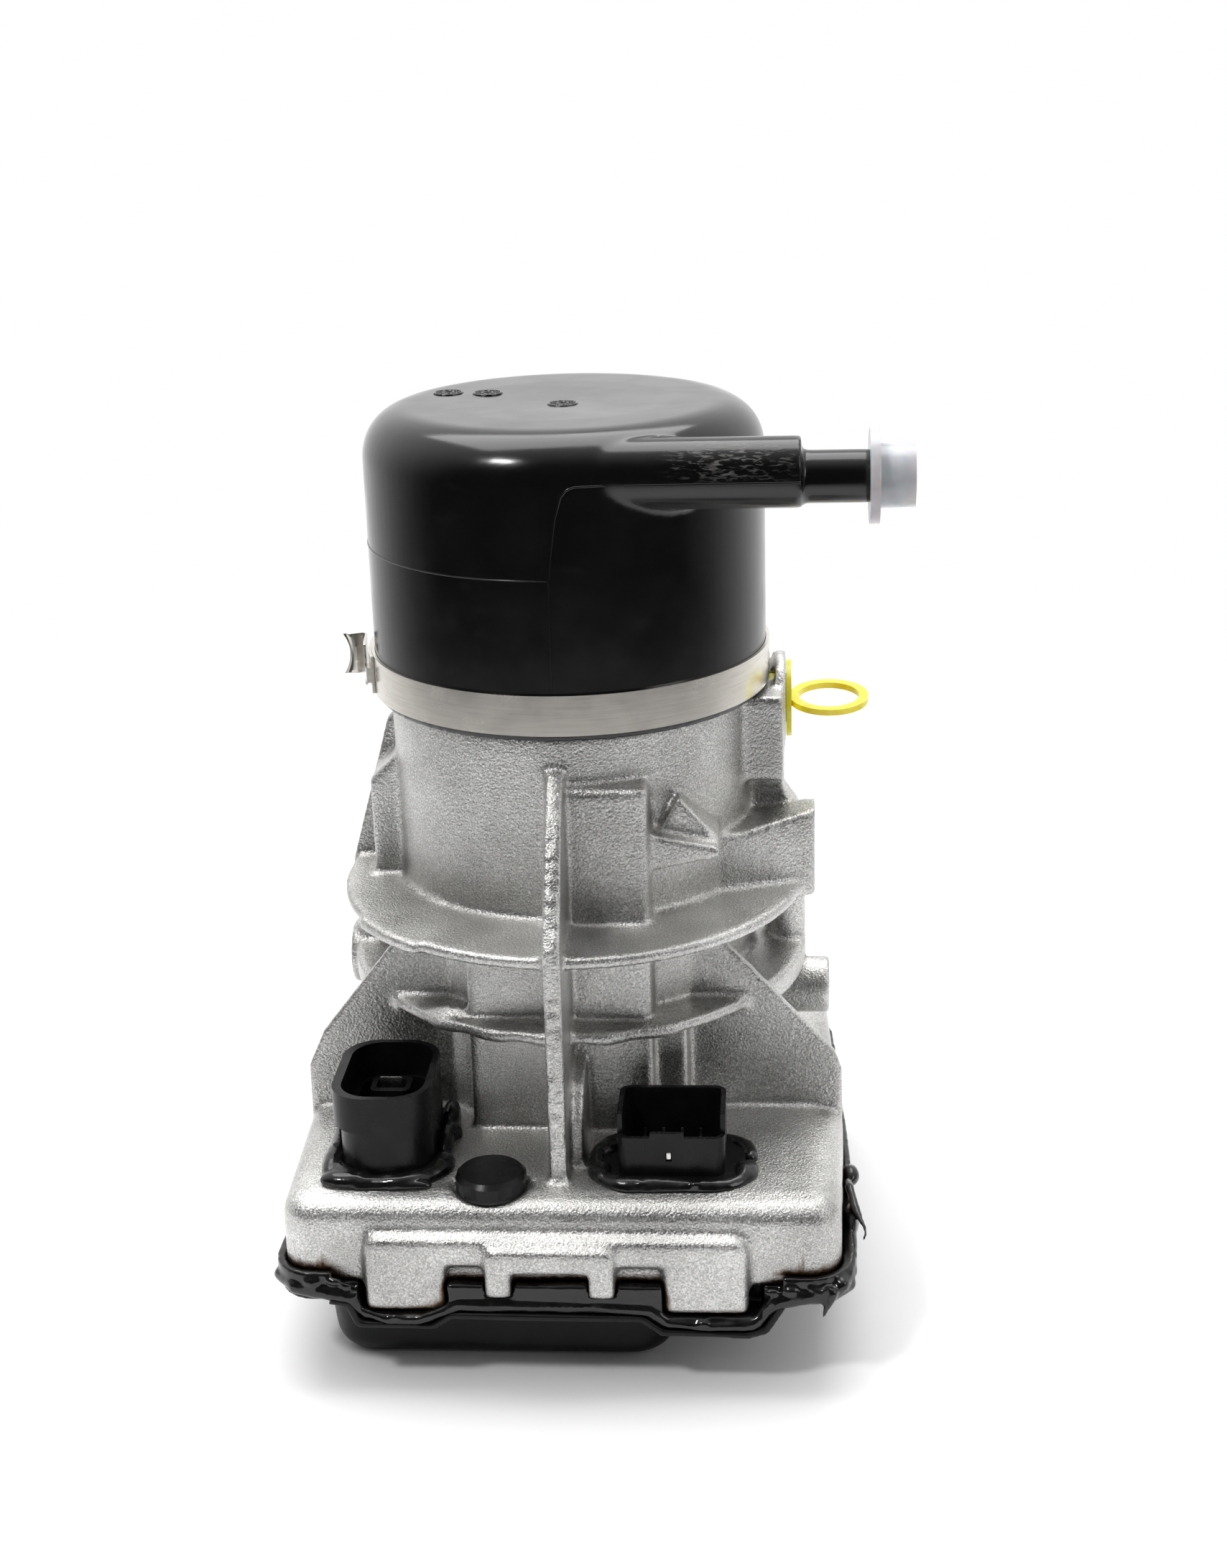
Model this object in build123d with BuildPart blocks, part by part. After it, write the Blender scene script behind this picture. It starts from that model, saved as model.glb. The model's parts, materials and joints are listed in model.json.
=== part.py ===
"""Electro-hydraulic pump unit: reservoir, gear pump, brushless motor and controller in one casting.

Millimetres. The origin is on the pump axis, in the plane that the bottom cover's dish rests on.
+Z points up along the pump axis, -Y towards the connectors and +X towards the return nipple.
"""
import os
from math import acos, cos, pi, radians, sin, tan

from build123d import *

os.makedirs("parts", exist_ok=True)

UP = (Align.CENTER, Align.CENTER, Align.MIN)
ALONG_X = Plane.YZ

# Levels above the resting plane
COVER_Z = 25.0
CASE_Z = 30.0
CEILING_Z = 49.4
DECK_Z = 53.4
LOWER_FLANGE_Z = 84.0
UPPER_FLANGE_Z = 112.0
MOTOR_TOP_Z = 124.0
SUMP_Z = 138.0
BARREL_TOP_Z = 167.5
SPIGOT_TOP_Z = 186.0
TANK_TOP_Z = 248.0

# Barrel, flanges and reservoir
BARREL_R = 51.0
MOTOR_BORE_R = 44.0
SUMP_R = 45.5
SPIGOT_R = 50.2
FLANGE_Y = -11.0
UPPER_FLANGE_R = 65.5
LOWER_FLANGE_R = 63.0
REAR_FLANGE_R = 66.0
FLANGE_T = 3.5
TANK_R = 55.0
TANK_WALL = 3.5
SHOULDER_R = 13.0
CLAMP_Z = 169.9
CLAMP_WIDTH = 11.0
CLAMP_T = 0.9

# Electronics box
CASE_FRONT = -95.0
CASE_BACK = 60.0
CASE_HALF = 76.4
CASE_FRONT_HALF = 74.5
CASE_BACK_HALF = 72.5
CASE_WALL = 4.5
CASE_CORNER_R = 9.0
GUSSET_Y = -38.0
COVER_T = 2.0
DISH_LEFT = -67.0
DISH_RIGHT = 32.0
DISH_FRONT = -88.0
DISH_BACK = 50.0
DISH_DRAFT = 6.0

# Ports
NIPPLE_Y = -44.0
NIPPLE_Z = 235.2
NIPPLE_R = 6.8
NIPPLE_LEAD_R = 6.3
NIPPLE_BORE_R = 4.7
TUBE_R = 9.2
TUBE_Z = 236.5
TUBE_END_X = 64.6
LEAD_END_X = 91.8
CAP_X = 81.7
CAP_END_X = 93.3
PORT_Y = 5.0
PORT_Z = 161.0
PORT_X = 60.5
PORT_R = 7.25

# Connectors and vent
POWER_AT = (-47.5, -65.0)
POWER_SIZE = (25.0, 36.0)
POWER_RIM_Z = 78.0
SIGNAL_AT = (29.6, -72.0)
SIGNAL_SIZE = (28.7, 20.0)
SIGNAL_RIM_Z = 72.0
SIGNAL_FRONT_Z = 66.4
VENT_AT = (-18.6, -83.2)
VENT_R = 9.55

# Motor
ROTOR_Z = 76.0
STACK = 32.0
SLOTS = 12
POLES = 10
ROTOR_R = 21.5
MAGNET_R = 24.2
STATOR_BORE_R = 25.2
STATOR_R = 43.9
SHAFT_R = 6.0
SHAFT_LOW_R = 5.0
UPPER_BEARING_Z = 116.0
LOWER_BEARING_Z = 59.0

# Gear pump
GEAR_MODULE = 2.0
GEAR_TEETH = 10
GEAR_PRESSURE = radians(28)
GEAR_ADDENDUM = 1.8
GEAR_DEDENDUM = 2.4
GEAR_BACKLASH = 0.16
GEAR_SPACING = GEAR_MODULE * GEAR_TEETH
POCKET_R = 12.15
BUSH_Z = 147.0
GEAR_Z = 154.0
GEAR_TOP_Z = 164.0
PUMP_TOP_Z = 172.0
PUMP_COVER_TOP_Z = 182.0
PUMP_Y = 8.0
PUMP_R = 36.5
PUMP_BOLT_R = 31.0
JOURNAL_CLEARANCE = 0.03
RELIEF_AT = (20.0, PORT_Y)
RELIEF_BORE_R = 4.0
RELIEF_TOP_Z = 192.0

# Circuit board
BOARD_Z = 35.0
BOARD_T = 1.6
BOARD_TOP_Z = BOARD_Z + BOARD_T
BOARD_POSTS = [(-64, -80), (64, -80), (-64, 48), (64, 48), (0, -86), (-30, 52), (30, 52)]


def post(x, y, z, radius, height, mode=Mode.ADD):
    """Upright cylinder standing on height z."""
    with Locations((x, y, z)):
        Cylinder(radius, height, align=UP, mode=mode)


def side_post(x0, x1, y, z, radius, mode=Mode.ADD):
    """Cylinder lying along X between two stations."""
    with BuildSketch(ALONG_X.offset(x0)) as section:
        with Locations((y, z)):
            Circle(radius)
    extrude(section.sketch, amount=x1 - x0, mode=mode)


def block(x0, x1, y0, y1, z0, z1, mode=Mode.ADD):
    """Box given by its limits."""
    with Locations(((x0 + x1) / 2, (y0 + y1) / 2, (z0 + z1) / 2)):
        Box(x1 - x0, y1 - y0, z1 - z0, mode=mode)


def wall(points, y_front, y_back, mode=Mode.ADD):
    """Plate drawn in X and Z, standing between two Y values."""
    with BuildSketch(Plane.XZ.offset(-y_back)) as outline:
        with BuildLine():
            Polyline(*points, close=True)
        make_face()
    extrude(outline.sketch, amount=y_back - y_front, mode=mode)


def fin(points, x0, x1):
    """Plate drawn in Y and Z, standing between two X values."""
    with BuildSketch(Plane.YZ.offset(x0)) as outline:
        with BuildLine():
            Polyline(*points, close=True)
        make_face()
    extrude(outline.sketch, amount=x1 - x0)


def slab(at, size, corner, z0, z1, mode=Mode.ADD):
    """Upright block with rounded corners."""
    with BuildSketch(Plane.XY.offset(z0)) as outline:
        with Locations(at):
            RectangleRounded(size[0], size[1], corner)
    extrude(outline.sketch, amount=z1 - z0, mode=mode)


def case_outline(grow=0.0):
    """Outline of the electronics box, moved outwards by grow."""
    with BuildSketch() as outline:
        with BuildLine():
            Polyline(
                (-CASE_FRONT_HALF, CASE_FRONT),
                (CASE_FRONT_HALF, CASE_FRONT),
                (CASE_HALF, GUSSET_Y),
                (CASE_BACK_HALF, CASE_BACK),
                (-CASE_BACK_HALF, CASE_BACK),
                (-CASE_HALF, GUSSET_Y),
                close=True,
            )
        make_face()
        corners = outline.vertices().filter_by(lambda v: abs(v.Y - GUSSET_Y) > 1)
        fillet(corners, CASE_CORNER_R)
        if grow:
            offset(amount=grow)
    return outline.sketch


def case_slab(z0, z1, grow=0.0, taper=0.0, mode=Mode.ADD):
    """Layer with the electronics box's outline."""
    extrude(Pos(0, 0, z0) * case_outline(grow), amount=z1 - z0, taper=taper, mode=mode)


def bolt_circle(count, radius, start=45.0, centre_y=0.0):
    """Points on a circle about the pump axis or another centre on Y."""
    angles = [radians(start + 360 * i / count) for i in range(count)]
    return [(radius * cos(a), centre_y + radius * sin(a)) for a in angles]


# ---------------------------------------------------------------- casting
END_SCREWS = bolt_circle(4, 47.5)
PUMP_BOLTS = bolt_circle(4, PUMP_BOLT_R, centre_y=PUMP_Y)

DECK_STEP = 0.35

with BuildPart() as front_ledge:
    wall(
        [(-52, 45), (50, 45), (50, 22.5), (27.5, 22.5), (27.5, 36), (-30, 36), (-30, 22.5), (-52, 22.5)],
        CASE_FRONT - 3.5,
        CASE_FRONT + 5,
    )
    fillet(front_ledge.edges().filter_by(Axis.Y).group_by(Axis.Z)[-1], 4.0)
    fillet(front_ledge.faces().sort_by(Axis.Y)[0].edges(), 2.4)

with BuildPart() as hook_pad:
    wall(
        [
            (-19.5, 43), (15, 43), (15, 28.4), (8, 28.4),
            (8, 35.6), (-12.5, 35.6), (-12.5, 28.4), (-19.5, 28.4),
        ],
        CASE_FRONT - 6,
        CASE_FRONT + 1,
    )
    fillet(hook_pad.edges().filter_by(Axis.Y).group_by(Axis.Z)[-1], 3.0)
    fillet(hook_pad.faces().sort_by(Axis.Y)[0].edges(), 1.6)

with BuildPart() as front_pad:
    block(2, 23.8, -54, -35, 50, 154.5)
    fillet(front_pad.faces().sort_by(Axis.Y)[0].edges(), 2.2)

with BuildPart() as side_block:
    wall([(38, 110), (68.5, 110), (68.5, 136), (48, 132), (38, 132)], -34, -8)
    # front face turned outwards
    with BuildSketch(Plane.XY.offset(100)):
        with BuildLine():
            Polyline((38, -31.2), (68.5, -20), (68.5, -8), (38, -8), close=True)
        make_face()
    extrude(amount=50, mode=Mode.INTERSECT)
    fillet(side_block.edges().filter_by(Axis.Z).group_by(Axis.X)[-1], 1.8)

with BuildPart() as body_casting:
    # electronics box with a rounded top edge and a shallow step along it
    case_slab(CASE_Z, DECK_Z - DECK_STEP, taper=1.0)
    fillet(body_casting.faces().sort_by(Axis.Z)[-1].edges(), 6.0)
    case_slab(DECK_Z - 2, DECK_Z, grow=-7.5)

    # ledge and hook pad on the front face
    add(front_ledge.part)
    add(hook_pad.part)

    # barrel and the spigot that carries the reservoir
    post(0, 0, CASE_Z + 18, BARREL_R, BARREL_TOP_Z - CASE_Z - 18)
    post(0, 0, BARREL_TOP_Z - 1, SPIGOT_R, SPIGOT_TOP_Z - BARREL_TOP_Z + 1)

    # two round flanges
    post(0, FLANGE_Y, UPPER_FLANGE_Z, UPPER_FLANGE_R, FLANGE_T)
    post(0, 0, LOWER_FLANGE_Z, LOWER_FLANGE_R, FLANGE_T)
    with BuildSketch(Plane.XY.offset(LOWER_FLANGE_Z - 1)):
        Circle(REAR_FLANGE_R)
        with Locations((0, GUSSET_Y + 2 - REAR_FLANGE_R)):
            Rectangle(4 * REAR_FLANGE_R, 2 * REAR_FLANGE_R, mode=Mode.SUBTRACT)
    extrude(amount=7.4)
    # lug on the rim of the upper flange
    with BuildSketch(Plane.XY.offset(UPPER_FLANGE_Z)):
        with Locations((0, FLANGE_Y)):
            Circle(UPPER_FLANGE_R + 2)
        with Locations((-47, -50)):
            Rectangle(18, 60, mode=Mode.INTERSECT)
    extrude(amount=FLANGE_T)

    # gusset wall across the box
    wall(
        [
            (-42, 113), (-71, 76), (-75.8, 65.4), (-76.2, 50),
            (76.2, 50), (75.8, 65), (74, 70), (35.6, 113),
        ],
        GUSSET_Y,
        GUSSET_Y + 3,
    )

    # long front rib, foot bump and the flat pads beside it
    fin([(-45, 159), (-53, 158.5), (-62, 148), (-80.5, 119), (-80.5, 106), (-83.5, 50), (-45, 50)], -3.0, 1.8)
    fin([(-45, 80), (-66, 74), (-72, 66), (-76, 50), (-45, 50)], 1.8, 5.6)
    add(front_pad.part)
    block(20, 33, -47.5, -35, 50, LOWER_FLANGE_Z)
    block(-27, -3, -53, -35, 50, UPPER_FLANGE_Z)

    # wedge ledge and its triangular stiffener on the right front
    wall([(22, 129.2), (42.5, 133.5), (42.5, 136.5), (22, 140.5)], -50.5, -30)
    wall([(26.5, 138), (26.5, 140), (31.6, 149.5), (42, 137.5), (42, 136)], -46, -30)

    # square boss on the right, its web and the pressure port above it
    add(side_block.part)
    wall([(45, 141), (57.9, 141), (64.1, 132), (66, 113), (45, 113)], -9, 2.5)
    side_post(40, PORT_X, PORT_Y, PORT_Z, 13.5)
    block(40, PORT_X - 0.8, -16, -6, 143, BARREL_TOP_Z)
    block(40, PORT_X - 0.5, -10, 19, 140, 152)

    # pad and web on the left
    wall([(-40, 113), (-57, 113), (-57, 144), (-50, 151), (-40, 151)], -16, 14)
    wall([(-48, 162), (-53.5, 158), (-66.5, 113), (-48, 113)], -1, 3)

    # pillars between the flanges and the round mounting bosses
    post(60, 0, LOWER_FLANGE_Z, 6, UPPER_FLANGE_Z - LOWER_FLANGE_Z + 1)
    post(-60, 0, LOWER_FLANGE_Z, 6, UPPER_FLANGE_Z - LOWER_FLANGE_Z + 1)
    side_post(45, 73, 2, 73, 8.3)
    side_post(-68, -45, 2, 84, 9.5)

    # ribs and mounting boss at the back
    for rib_x in (-32, 28):
        fin([(35, 152), (46, 150), (58, 110), (58, 50), (35, 50)], rib_x, rib_x + 4)
    with BuildSketch(Plane.XZ.offset(-42)):
        with Locations((0, 99)):
            Circle(10)
    extrude(amount=-22)

    # space for the clamp and the reservoir's skirt
    with BuildSketch(Plane.XY.offset(BARREL_TOP_Z)):
        Circle(TANK_R + 2.6)
        Circle(SPIGOT_R, mode=Mode.SUBTRACT)
    extrude(amount=30, mode=Mode.SUBTRACT)

    # electronics cavity, motor bore, bearing hub and pump sump
    case_slab(CASE_Z, CEILING_Z, grow=-CASE_WALL, mode=Mode.SUBTRACT)
    post(0, 0, CASE_Z, MOTOR_BORE_R, MOTOR_TOP_Z - CASE_Z, Mode.SUBTRACT)
    post(0, 0, UPPER_BEARING_Z - 1, 21, 12)
    post(0, 0, UPPER_BEARING_Z - 1, 16.01, 11, Mode.SUBTRACT)
    post(0, 0, UPPER_BEARING_Z, 8.5, 20, Mode.SUBTRACT)
    post(0, 0, 129.5, 11.01, 20, Mode.SUBTRACT)
    post(0, 0, SUMP_Z, SUMP_R, 60, Mode.SUBTRACT)

    # groove for the reservoir's seal
    with BuildSketch(Plane.XY.offset(174.2)):
        Circle(SPIGOT_R + 1)
        Circle(47.6, mode=Mode.SUBTRACT)
    extrude(amount=3.4, mode=Mode.SUBTRACT)

    # heat pads over the transistors and posts for the board
    block(53, 69, -32, 44, 41.2, CEILING_Z + 0.5)
    block(-69, -53, -32, 44, 41.2, CEILING_Z + 0.5)
    for x, y in BOARD_POSTS:
        post(x, y, BOARD_TOP_Z, 4, CEILING_Z - BOARD_TOP_Z + 0.5)
        post(x, y, BOARD_TOP_Z, 1.25, 9, Mode.SUBTRACT)

    # tapped holes for the end plate and the pump
    for x, y in END_SCREWS:
        post(x, y, CEILING_Z, 1.65, 11, Mode.SUBTRACT)
    for x, y in PUMP_BOLTS:
        post(x, y, SUMP_Z - 10, 2.5, 10, Mode.SUBTRACT)

    # pressure port, transfer tube seat and mounting threads
    side_post(50.5, PORT_X + 1, PORT_Y, PORT_Z, PORT_R, Mode.SUBTRACT)
    side_post(40, 56, PORT_Y, PORT_Z, 3, Mode.SUBTRACT)
    side_post(40, 49.5, PORT_Y, PORT_Z, 5.05, Mode.SUBTRACT)
    side_post(56, 74, 2, 73, 3.4, Mode.SUBTRACT)
    side_post(-69, -52, 2, 84, 3.4, Mode.SUBTRACT)
    side_post(54, 69, -14, 123, 3.4, Mode.SUBTRACT)
    with BuildSketch(Plane.XZ.offset(-48)):
        with Locations((0, 99)):
            Circle(3.4)
    extrude(amount=-17, mode=Mode.SUBTRACT)

    # openings in the deck for the connectors and the vent
    slab(POWER_AT, (21.2, 30.2), 6, 45, 60, Mode.SUBTRACT)
    slab(SIGNAL_AT, (24.2, 15.2), 3, 45, 60, Mode.SUBTRACT)
    post(*VENT_AT, 45, 8, 20, Mode.SUBTRACT)
    post(*VENT_AT, 51.8, 10.2, 4, Mode.SUBTRACT)
    slab(VENT_AT, (23.5, 5), 2, 51.8, 55, Mode.SUBTRACT)

# ---------------------------------------------------------------- reservoir and clamp
with BuildPart() as reservoir:
    with BuildSketch(Plane.XZ):
        with BuildLine():
            Line((0, TANK_TOP_Z - 0.6), (30, TANK_TOP_Z))
            Line((30, TANK_TOP_Z), (TANK_R - SHOULDER_R, TANK_TOP_Z))
            RadiusArc((TANK_R - SHOULDER_R, TANK_TOP_Z), (TANK_R, TANK_TOP_Z - SHOULDER_R), SHOULDER_R)
            Line((TANK_R, TANK_TOP_Z - SHOULDER_R), (TANK_R, 168))
            Line((TANK_R, 168), (0, 168))
            Line((0, 168), (0, TANK_TOP_Z - 0.6))
        make_face()
    revolve(axis=Axis.Z)
    side_post(8, TUBE_END_X, NIPPLE_Y, TUBE_Z, TUBE_R)
    side_post(TUBE_END_X - 2, CAP_X, NIPPLE_Y, NIPPLE_Z, NIPPLE_R)
    side_post(CAP_X - 1, LEAD_END_X, NIPPLE_Y, NIPPLE_Z, NIPPLE_LEAD_R)
    post(0, 0, 168, 50.6, 22, Mode.SUBTRACT)
    post(0, 0, 189, 50.9, 14, Mode.SUBTRACT)
    with BuildSketch(Plane.XZ):
        with BuildLine():
            Line((0, TANK_TOP_Z - TANK_WALL), (40, TANK_TOP_Z - TANK_WALL))
            RadiusArc((40, TANK_TOP_Z - TANK_WALL), (51.5, TANK_TOP_Z - TANK_WALL - 11.5), 11.5)
            Line((51.5, TANK_TOP_Z - TANK_WALL - 11.5), (51.5, 200))
            Line((51.5, 200), (0, 200))
            Line((0, 200), (0, TANK_TOP_Z - TANK_WALL))
        make_face()
    revolve(axis=Axis.Z, mode=Mode.SUBTRACT)
    side_post(15, 96, NIPPLE_Y, NIPPLE_Z, NIPPLE_BORE_R, Mode.SUBTRACT)

with BuildPart() as reservoir_seal:
    with Locations((0, 0, 175.9)):
        Torus(49.1, 1.35)

STRAINER_HOLES = [(9 * i, 9 * j) for i in range(-5, 6) for j in range(-5, 6) if i * i + j * j < 25]

with BuildPart() as fluid_strainer:
    with BuildSketch(Plane.XY.offset(200.1)):
        Circle(51.3)
        with Locations(*STRAINER_HOLES):
            Rectangle(7, 7, mode=Mode.SUBTRACT)
    extrude(amount=1.6)

with BuildPart() as clamp_band:
    with BuildSketch(Plane.XY.offset(CLAMP_Z)):
        Circle(TANK_R + 0.1 + CLAMP_T)
        Circle(TANK_R + 0.1, mode=Mode.SUBTRACT)
    extrude(amount=CLAMP_WIDTH)

LAP_R = TANK_R + 0.15 + CLAMP_T

with BuildPart() as clamp_hook:
    # outer end of the band, lapped over the left side, with a tooth at its tip
    with BuildSketch(Plane.XY.offset(CLAMP_Z + 0.2)):
        with BuildLine():
            lap_outer = CenterArc((0, 0), LAP_R + 0.8, 176, 22)
            lap_inner = CenterArc((0, 0), LAP_R, 176, 22)
            Line(lap_outer @ 0, lap_inner @ 0)
            Line(lap_outer @ 1, lap_inner @ 1)
        make_face()
    extrude(amount=CLAMP_WIDTH - 0.4)
    with BuildSketch(Plane.XY.offset(CLAMP_Z + 3.4)):
        with BuildLine():
            tooth_outer = CenterArc((0, 0), LAP_R + 2.2, 193, 5)
            tooth_inner = CenterArc((0, 0), LAP_R + 0.3, 193, 5)
            Line(tooth_outer @ 0, tooth_inner @ 0)
            Line(tooth_outer @ 1, tooth_inner @ 1)
        make_face()
    extrude(amount=4.2)

with BuildPart() as clamp_ear:
    # strip curled away from the band
    with BuildSketch(Plane.XY.offset(CLAMP_Z + 0.4)):
        with BuildLine():
            FilletPolyline((-57.7, 3.2), (-61.0, 3.6), (-64.4, 1.6), (-62.2, -1.8), (-64.8, -4.8), radius=1.1)
        trace(line_width=0.9)
    extrude(amount=CLAMP_WIDTH + 0.6)

# ---------------------------------------------------------------- transport covers
RING_R = 9.9
RING_WIRE_R = 1.3

with BuildPart() as return_cap:
    side_post(CAP_X + 0.1, CAP_X + 2.6, NIPPLE_Y, NIPPLE_Z, 12.2)
    with BuildSketch(ALONG_X.offset(CAP_X + 2)) as cap_root:
        with Locations((NIPPLE_Y, NIPPLE_Z)):
            Circle(8.2)
    extrude(cap_root.sketch, amount=CAP_END_X - CAP_X - 2, taper=1.0)
    side_post(CAP_X, LEAD_END_X + 0.4, NIPPLE_Y, NIPPLE_Z, NIPPLE_LEAD_R + 0.35, Mode.SUBTRACT)

with BuildPart() as port_plug:
    side_post(PORT_X + 0.1, PORT_X + 1.6, PORT_Y, PORT_Z, 10.9)
    side_post(51.2, PORT_X + 0.5, PORT_Y, PORT_Z, PORT_R - 0.3)
    side_post(50.9, PORT_X - 1.5, PORT_Y, PORT_Z, PORT_R - 1.8, Mode.SUBTRACT)
    # pull ring, tipped a little towards the front
    ring_plane = Plane(origin=(PORT_X + 12.2, PORT_Y, PORT_Z), x_dir=(1, 0, 0), z_dir=(0, -0.1, 1))
    with BuildSketch(ring_plane.offset(-0.9)):
        Circle(RING_R + RING_WIRE_R)
        Circle(RING_R - RING_WIRE_R, mode=Mode.SUBTRACT)
        with Locations((-RING_R - 0.6, 0)):
            Rectangle(3.4, 8)
        Circle(RING_R - RING_WIRE_R, mode=Mode.SUBTRACT)
    extrude(amount=1.8)

# ---------------------------------------------------------------- connectors
POWER_X, POWER_Y = POWER_AT
SIGNAL_X, SIGNAL_Y = SIGNAL_AT
POWER_FLOOR_Z = 63.0
SIGNAL_FLOOR_Z = 57.0
POWER_BLADES = [(POWER_X - 1, POWER_Y - 7), (POWER_X - 1, POWER_Y + 7)]
SIGNAL_PINS = [(SIGNAL_X - 7.5 + 5 * i, SIGNAL_Y - 2.5 + 5 * j) for i in range(4) for j in range(2)]

with BuildPart() as power_connector:
    slab(POWER_AT, POWER_SIZE, 9.6, DECK_Z + 0.05, POWER_RIM_Z)
    # thicker mouth on the left, and the latch strip beside it
    slab((POWER_X - 0.9, POWER_Y), (POWER_SIZE[0] + 1.8, POWER_SIZE[1]), 9.6, POWER_RIM_Z - 10.4, POWER_RIM_Z)
    block(POWER_X - 14.2, POWER_X - 10, POWER_Y - 4, POWER_Y + 8, DECK_Z + 0.05, POWER_RIM_Z - 4)
    slab(POWER_AT, (20.6, 29.6), 5.7, 46, DECK_Z + 1)
    slab((POWER_X - 0.5, POWER_Y), (POWER_SIZE[0] - 2.4, POWER_SIZE[1] - 3.2), 8.2, 68, POWER_RIM_Z + 1, Mode.SUBTRACT)
    slab(POWER_AT, (POWER_SIZE[0] - 5.6, POWER_SIZE[1] - 6), 6.4, POWER_FLOOR_Z, POWER_RIM_Z, Mode.SUBTRACT)
    # collar round each blade
    for x, y in POWER_BLADES:
        slab((x, y), (11, 9), 2, POWER_FLOOR_Z - 1, POWER_FLOOR_Z + 7)
        slab((x, y), (8, 5), 1, POWER_FLOOR_Z + 1, POWER_FLOOR_Z + 8, Mode.SUBTRACT)
        block(x - 3.1, x + 3.1, y - 0.5, y + 0.5, 40, 70, Mode.SUBTRACT)

with BuildPart() as power_terminals:
    for x, y in POWER_BLADES:
        block(x - 3, x + 3, y - 0.4, y + 0.4, BOARD_TOP_Z + 0.1, POWER_FLOOR_Z + 9)

with BuildPart() as signal_connector:
    slab(SIGNAL_AT, SIGNAL_SIZE, 3.2, DECK_Z + 0.05, SIGNAL_RIM_Z)
    slab(SIGNAL_AT, (39, 24), 8, DECK_Z + 0.05, DECK_Z + 1.8)
    slab(SIGNAL_AT, (23.6, 14.6), 2.7, 46, DECK_Z + 1)
    slab(SIGNAL_AT, (SIGNAL_SIZE[0] - 2.6, SIGNAL_SIZE[1] - 2.6), 1.9, SIGNAL_FLOOR_Z, 80, Mode.SUBTRACT)
    # lower front wall with a tab in the middle, and the small window under it
    block(SIGNAL_X - 15, SIGNAL_X - 5.6, SIGNAL_Y - 11, SIGNAL_Y - 6.8, SIGNAL_FRONT_Z, 80, Mode.SUBTRACT)
    block(SIGNAL_X - 5.7, SIGNAL_X + 3.5, SIGNAL_Y - 11, SIGNAL_Y - 6.8, SIGNAL_FRONT_Z + 1.4, 80, Mode.SUBTRACT)
    block(SIGNAL_X + 3.4, SIGNAL_X + 15, SIGNAL_Y - 11, SIGNAL_Y - 6.8, SIGNAL_FRONT_Z, 80, Mode.SUBTRACT)
    block(SIGNAL_X - 1.5, SIGNAL_X + 0.1, SIGNAL_Y - 13, SIGNAL_Y - 8, 59.6, 62.2, Mode.SUBTRACT)
    for x, y in SIGNAL_PINS:
        block(x - 0.4, x + 0.4, y - 0.4, y + 0.4, 40, 70, Mode.SUBTRACT)

with BuildPart() as signal_terminals:
    for x, y in SIGNAL_PINS:
        block(x - 0.32, x + 0.32, y - 0.32, y + 0.32, BOARD_TOP_Z + 0.1, SIGNAL_FLOOR_Z + 6)

with BuildPart() as power_sealant:
    slab((POWER_X - 0.5, POWER_Y), (34, 43), 13, DECK_Z + 0.05, DECK_Z + 3.4)
    slab(POWER_AT, (POWER_SIZE[0] + 0.2, POWER_SIZE[1] + 0.2), 9.7, DECK_Z - 1, 70, Mode.SUBTRACT)
    block(POWER_X - 14.3, POWER_X - 9, POWER_Y - 4.1, POWER_Y + 8.1, DECK_Z - 1, 70, Mode.SUBTRACT)

with BuildPart() as signal_sealant:
    slab(SIGNAL_AT, (43.5, 28), 11, DECK_Z + 0.05, DECK_Z + 3.0)
    slab(SIGNAL_AT, (39.2, 24.2), 8.1, DECK_Z - 1, 70, Mode.SUBTRACT)

# ---------------------------------------------------------------- breather
with BuildPart() as vent_plug:
    post(*VENT_AT, 52.7, VENT_R, 4.7)
    chamfer(vent_plug.faces().sort_by(Axis.Z)[-1].edges(), 1.2)
    with Locations(Location((*VENT_AT, 0))):
        with PolarLocations(VENT_R + 11.6, 6):
            Cylinder(12, 120, mode=Mode.SUBTRACT)
    post(*VENT_AT, 48, 7.4, 5)
    post(*VENT_AT, 48, 5.2, 3, Mode.SUBTRACT)

with BuildPart() as vent_seal:
    post(*VENT_AT, 51.85, 9.2, 0.8)
    post(*VENT_AT, 51, 7.5, 3, Mode.SUBTRACT)

with BuildPart() as vent_membrane:
    post(*VENT_AT, 48.2, 5.1, 0.4)

# ---------------------------------------------------------------- bottom cover and its sealant
LIP_FRONT = CASE_FRONT - 4
LIP_BACK = DISH_FRONT + 1
LIP_LINE = [
    (-61.5, 26), (-56.4, 25.2), (-54.2, 19), (-34, 18.5), (-29, 22),
    (22, 21.5), (27, 17.5), (50, 17), (54.5, 18.5), (59, 26),
]
DISH_R = 14.0

DISH_EDGE_R = 7.0
DISH_WALL = 1.6
SEALANT_LINE = [
    (-61, 27.2), (-55.2, 26.5), (-53.1, 20.2), (-34.4, 19.65), (-29.4, 23.2),
    (22.4, 22.7), (27.4, 18.65), (49.9, 18.2), (53.7, 19.45), (57.6, 27.2),
]


def dish(inset):
    """Dish pressed into the cover, drawn at its mouth and tapering downwards, moved in by inset."""
    with BuildSketch(Plane.XY.offset(COVER_Z + COVER_T)) as mouth:
        with Locations(((DISH_LEFT + DISH_RIGHT) / 2, (DISH_FRONT + DISH_BACK) / 2)):
            RectangleRounded(
                DISH_RIGHT - DISH_LEFT - 2 * inset, DISH_BACK - DISH_FRONT - 2 * inset, DISH_R - inset
            )
    extrude(mouth.sketch, amount=inset - COVER_Z - COVER_T, taper=DISH_DRAFT)


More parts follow.
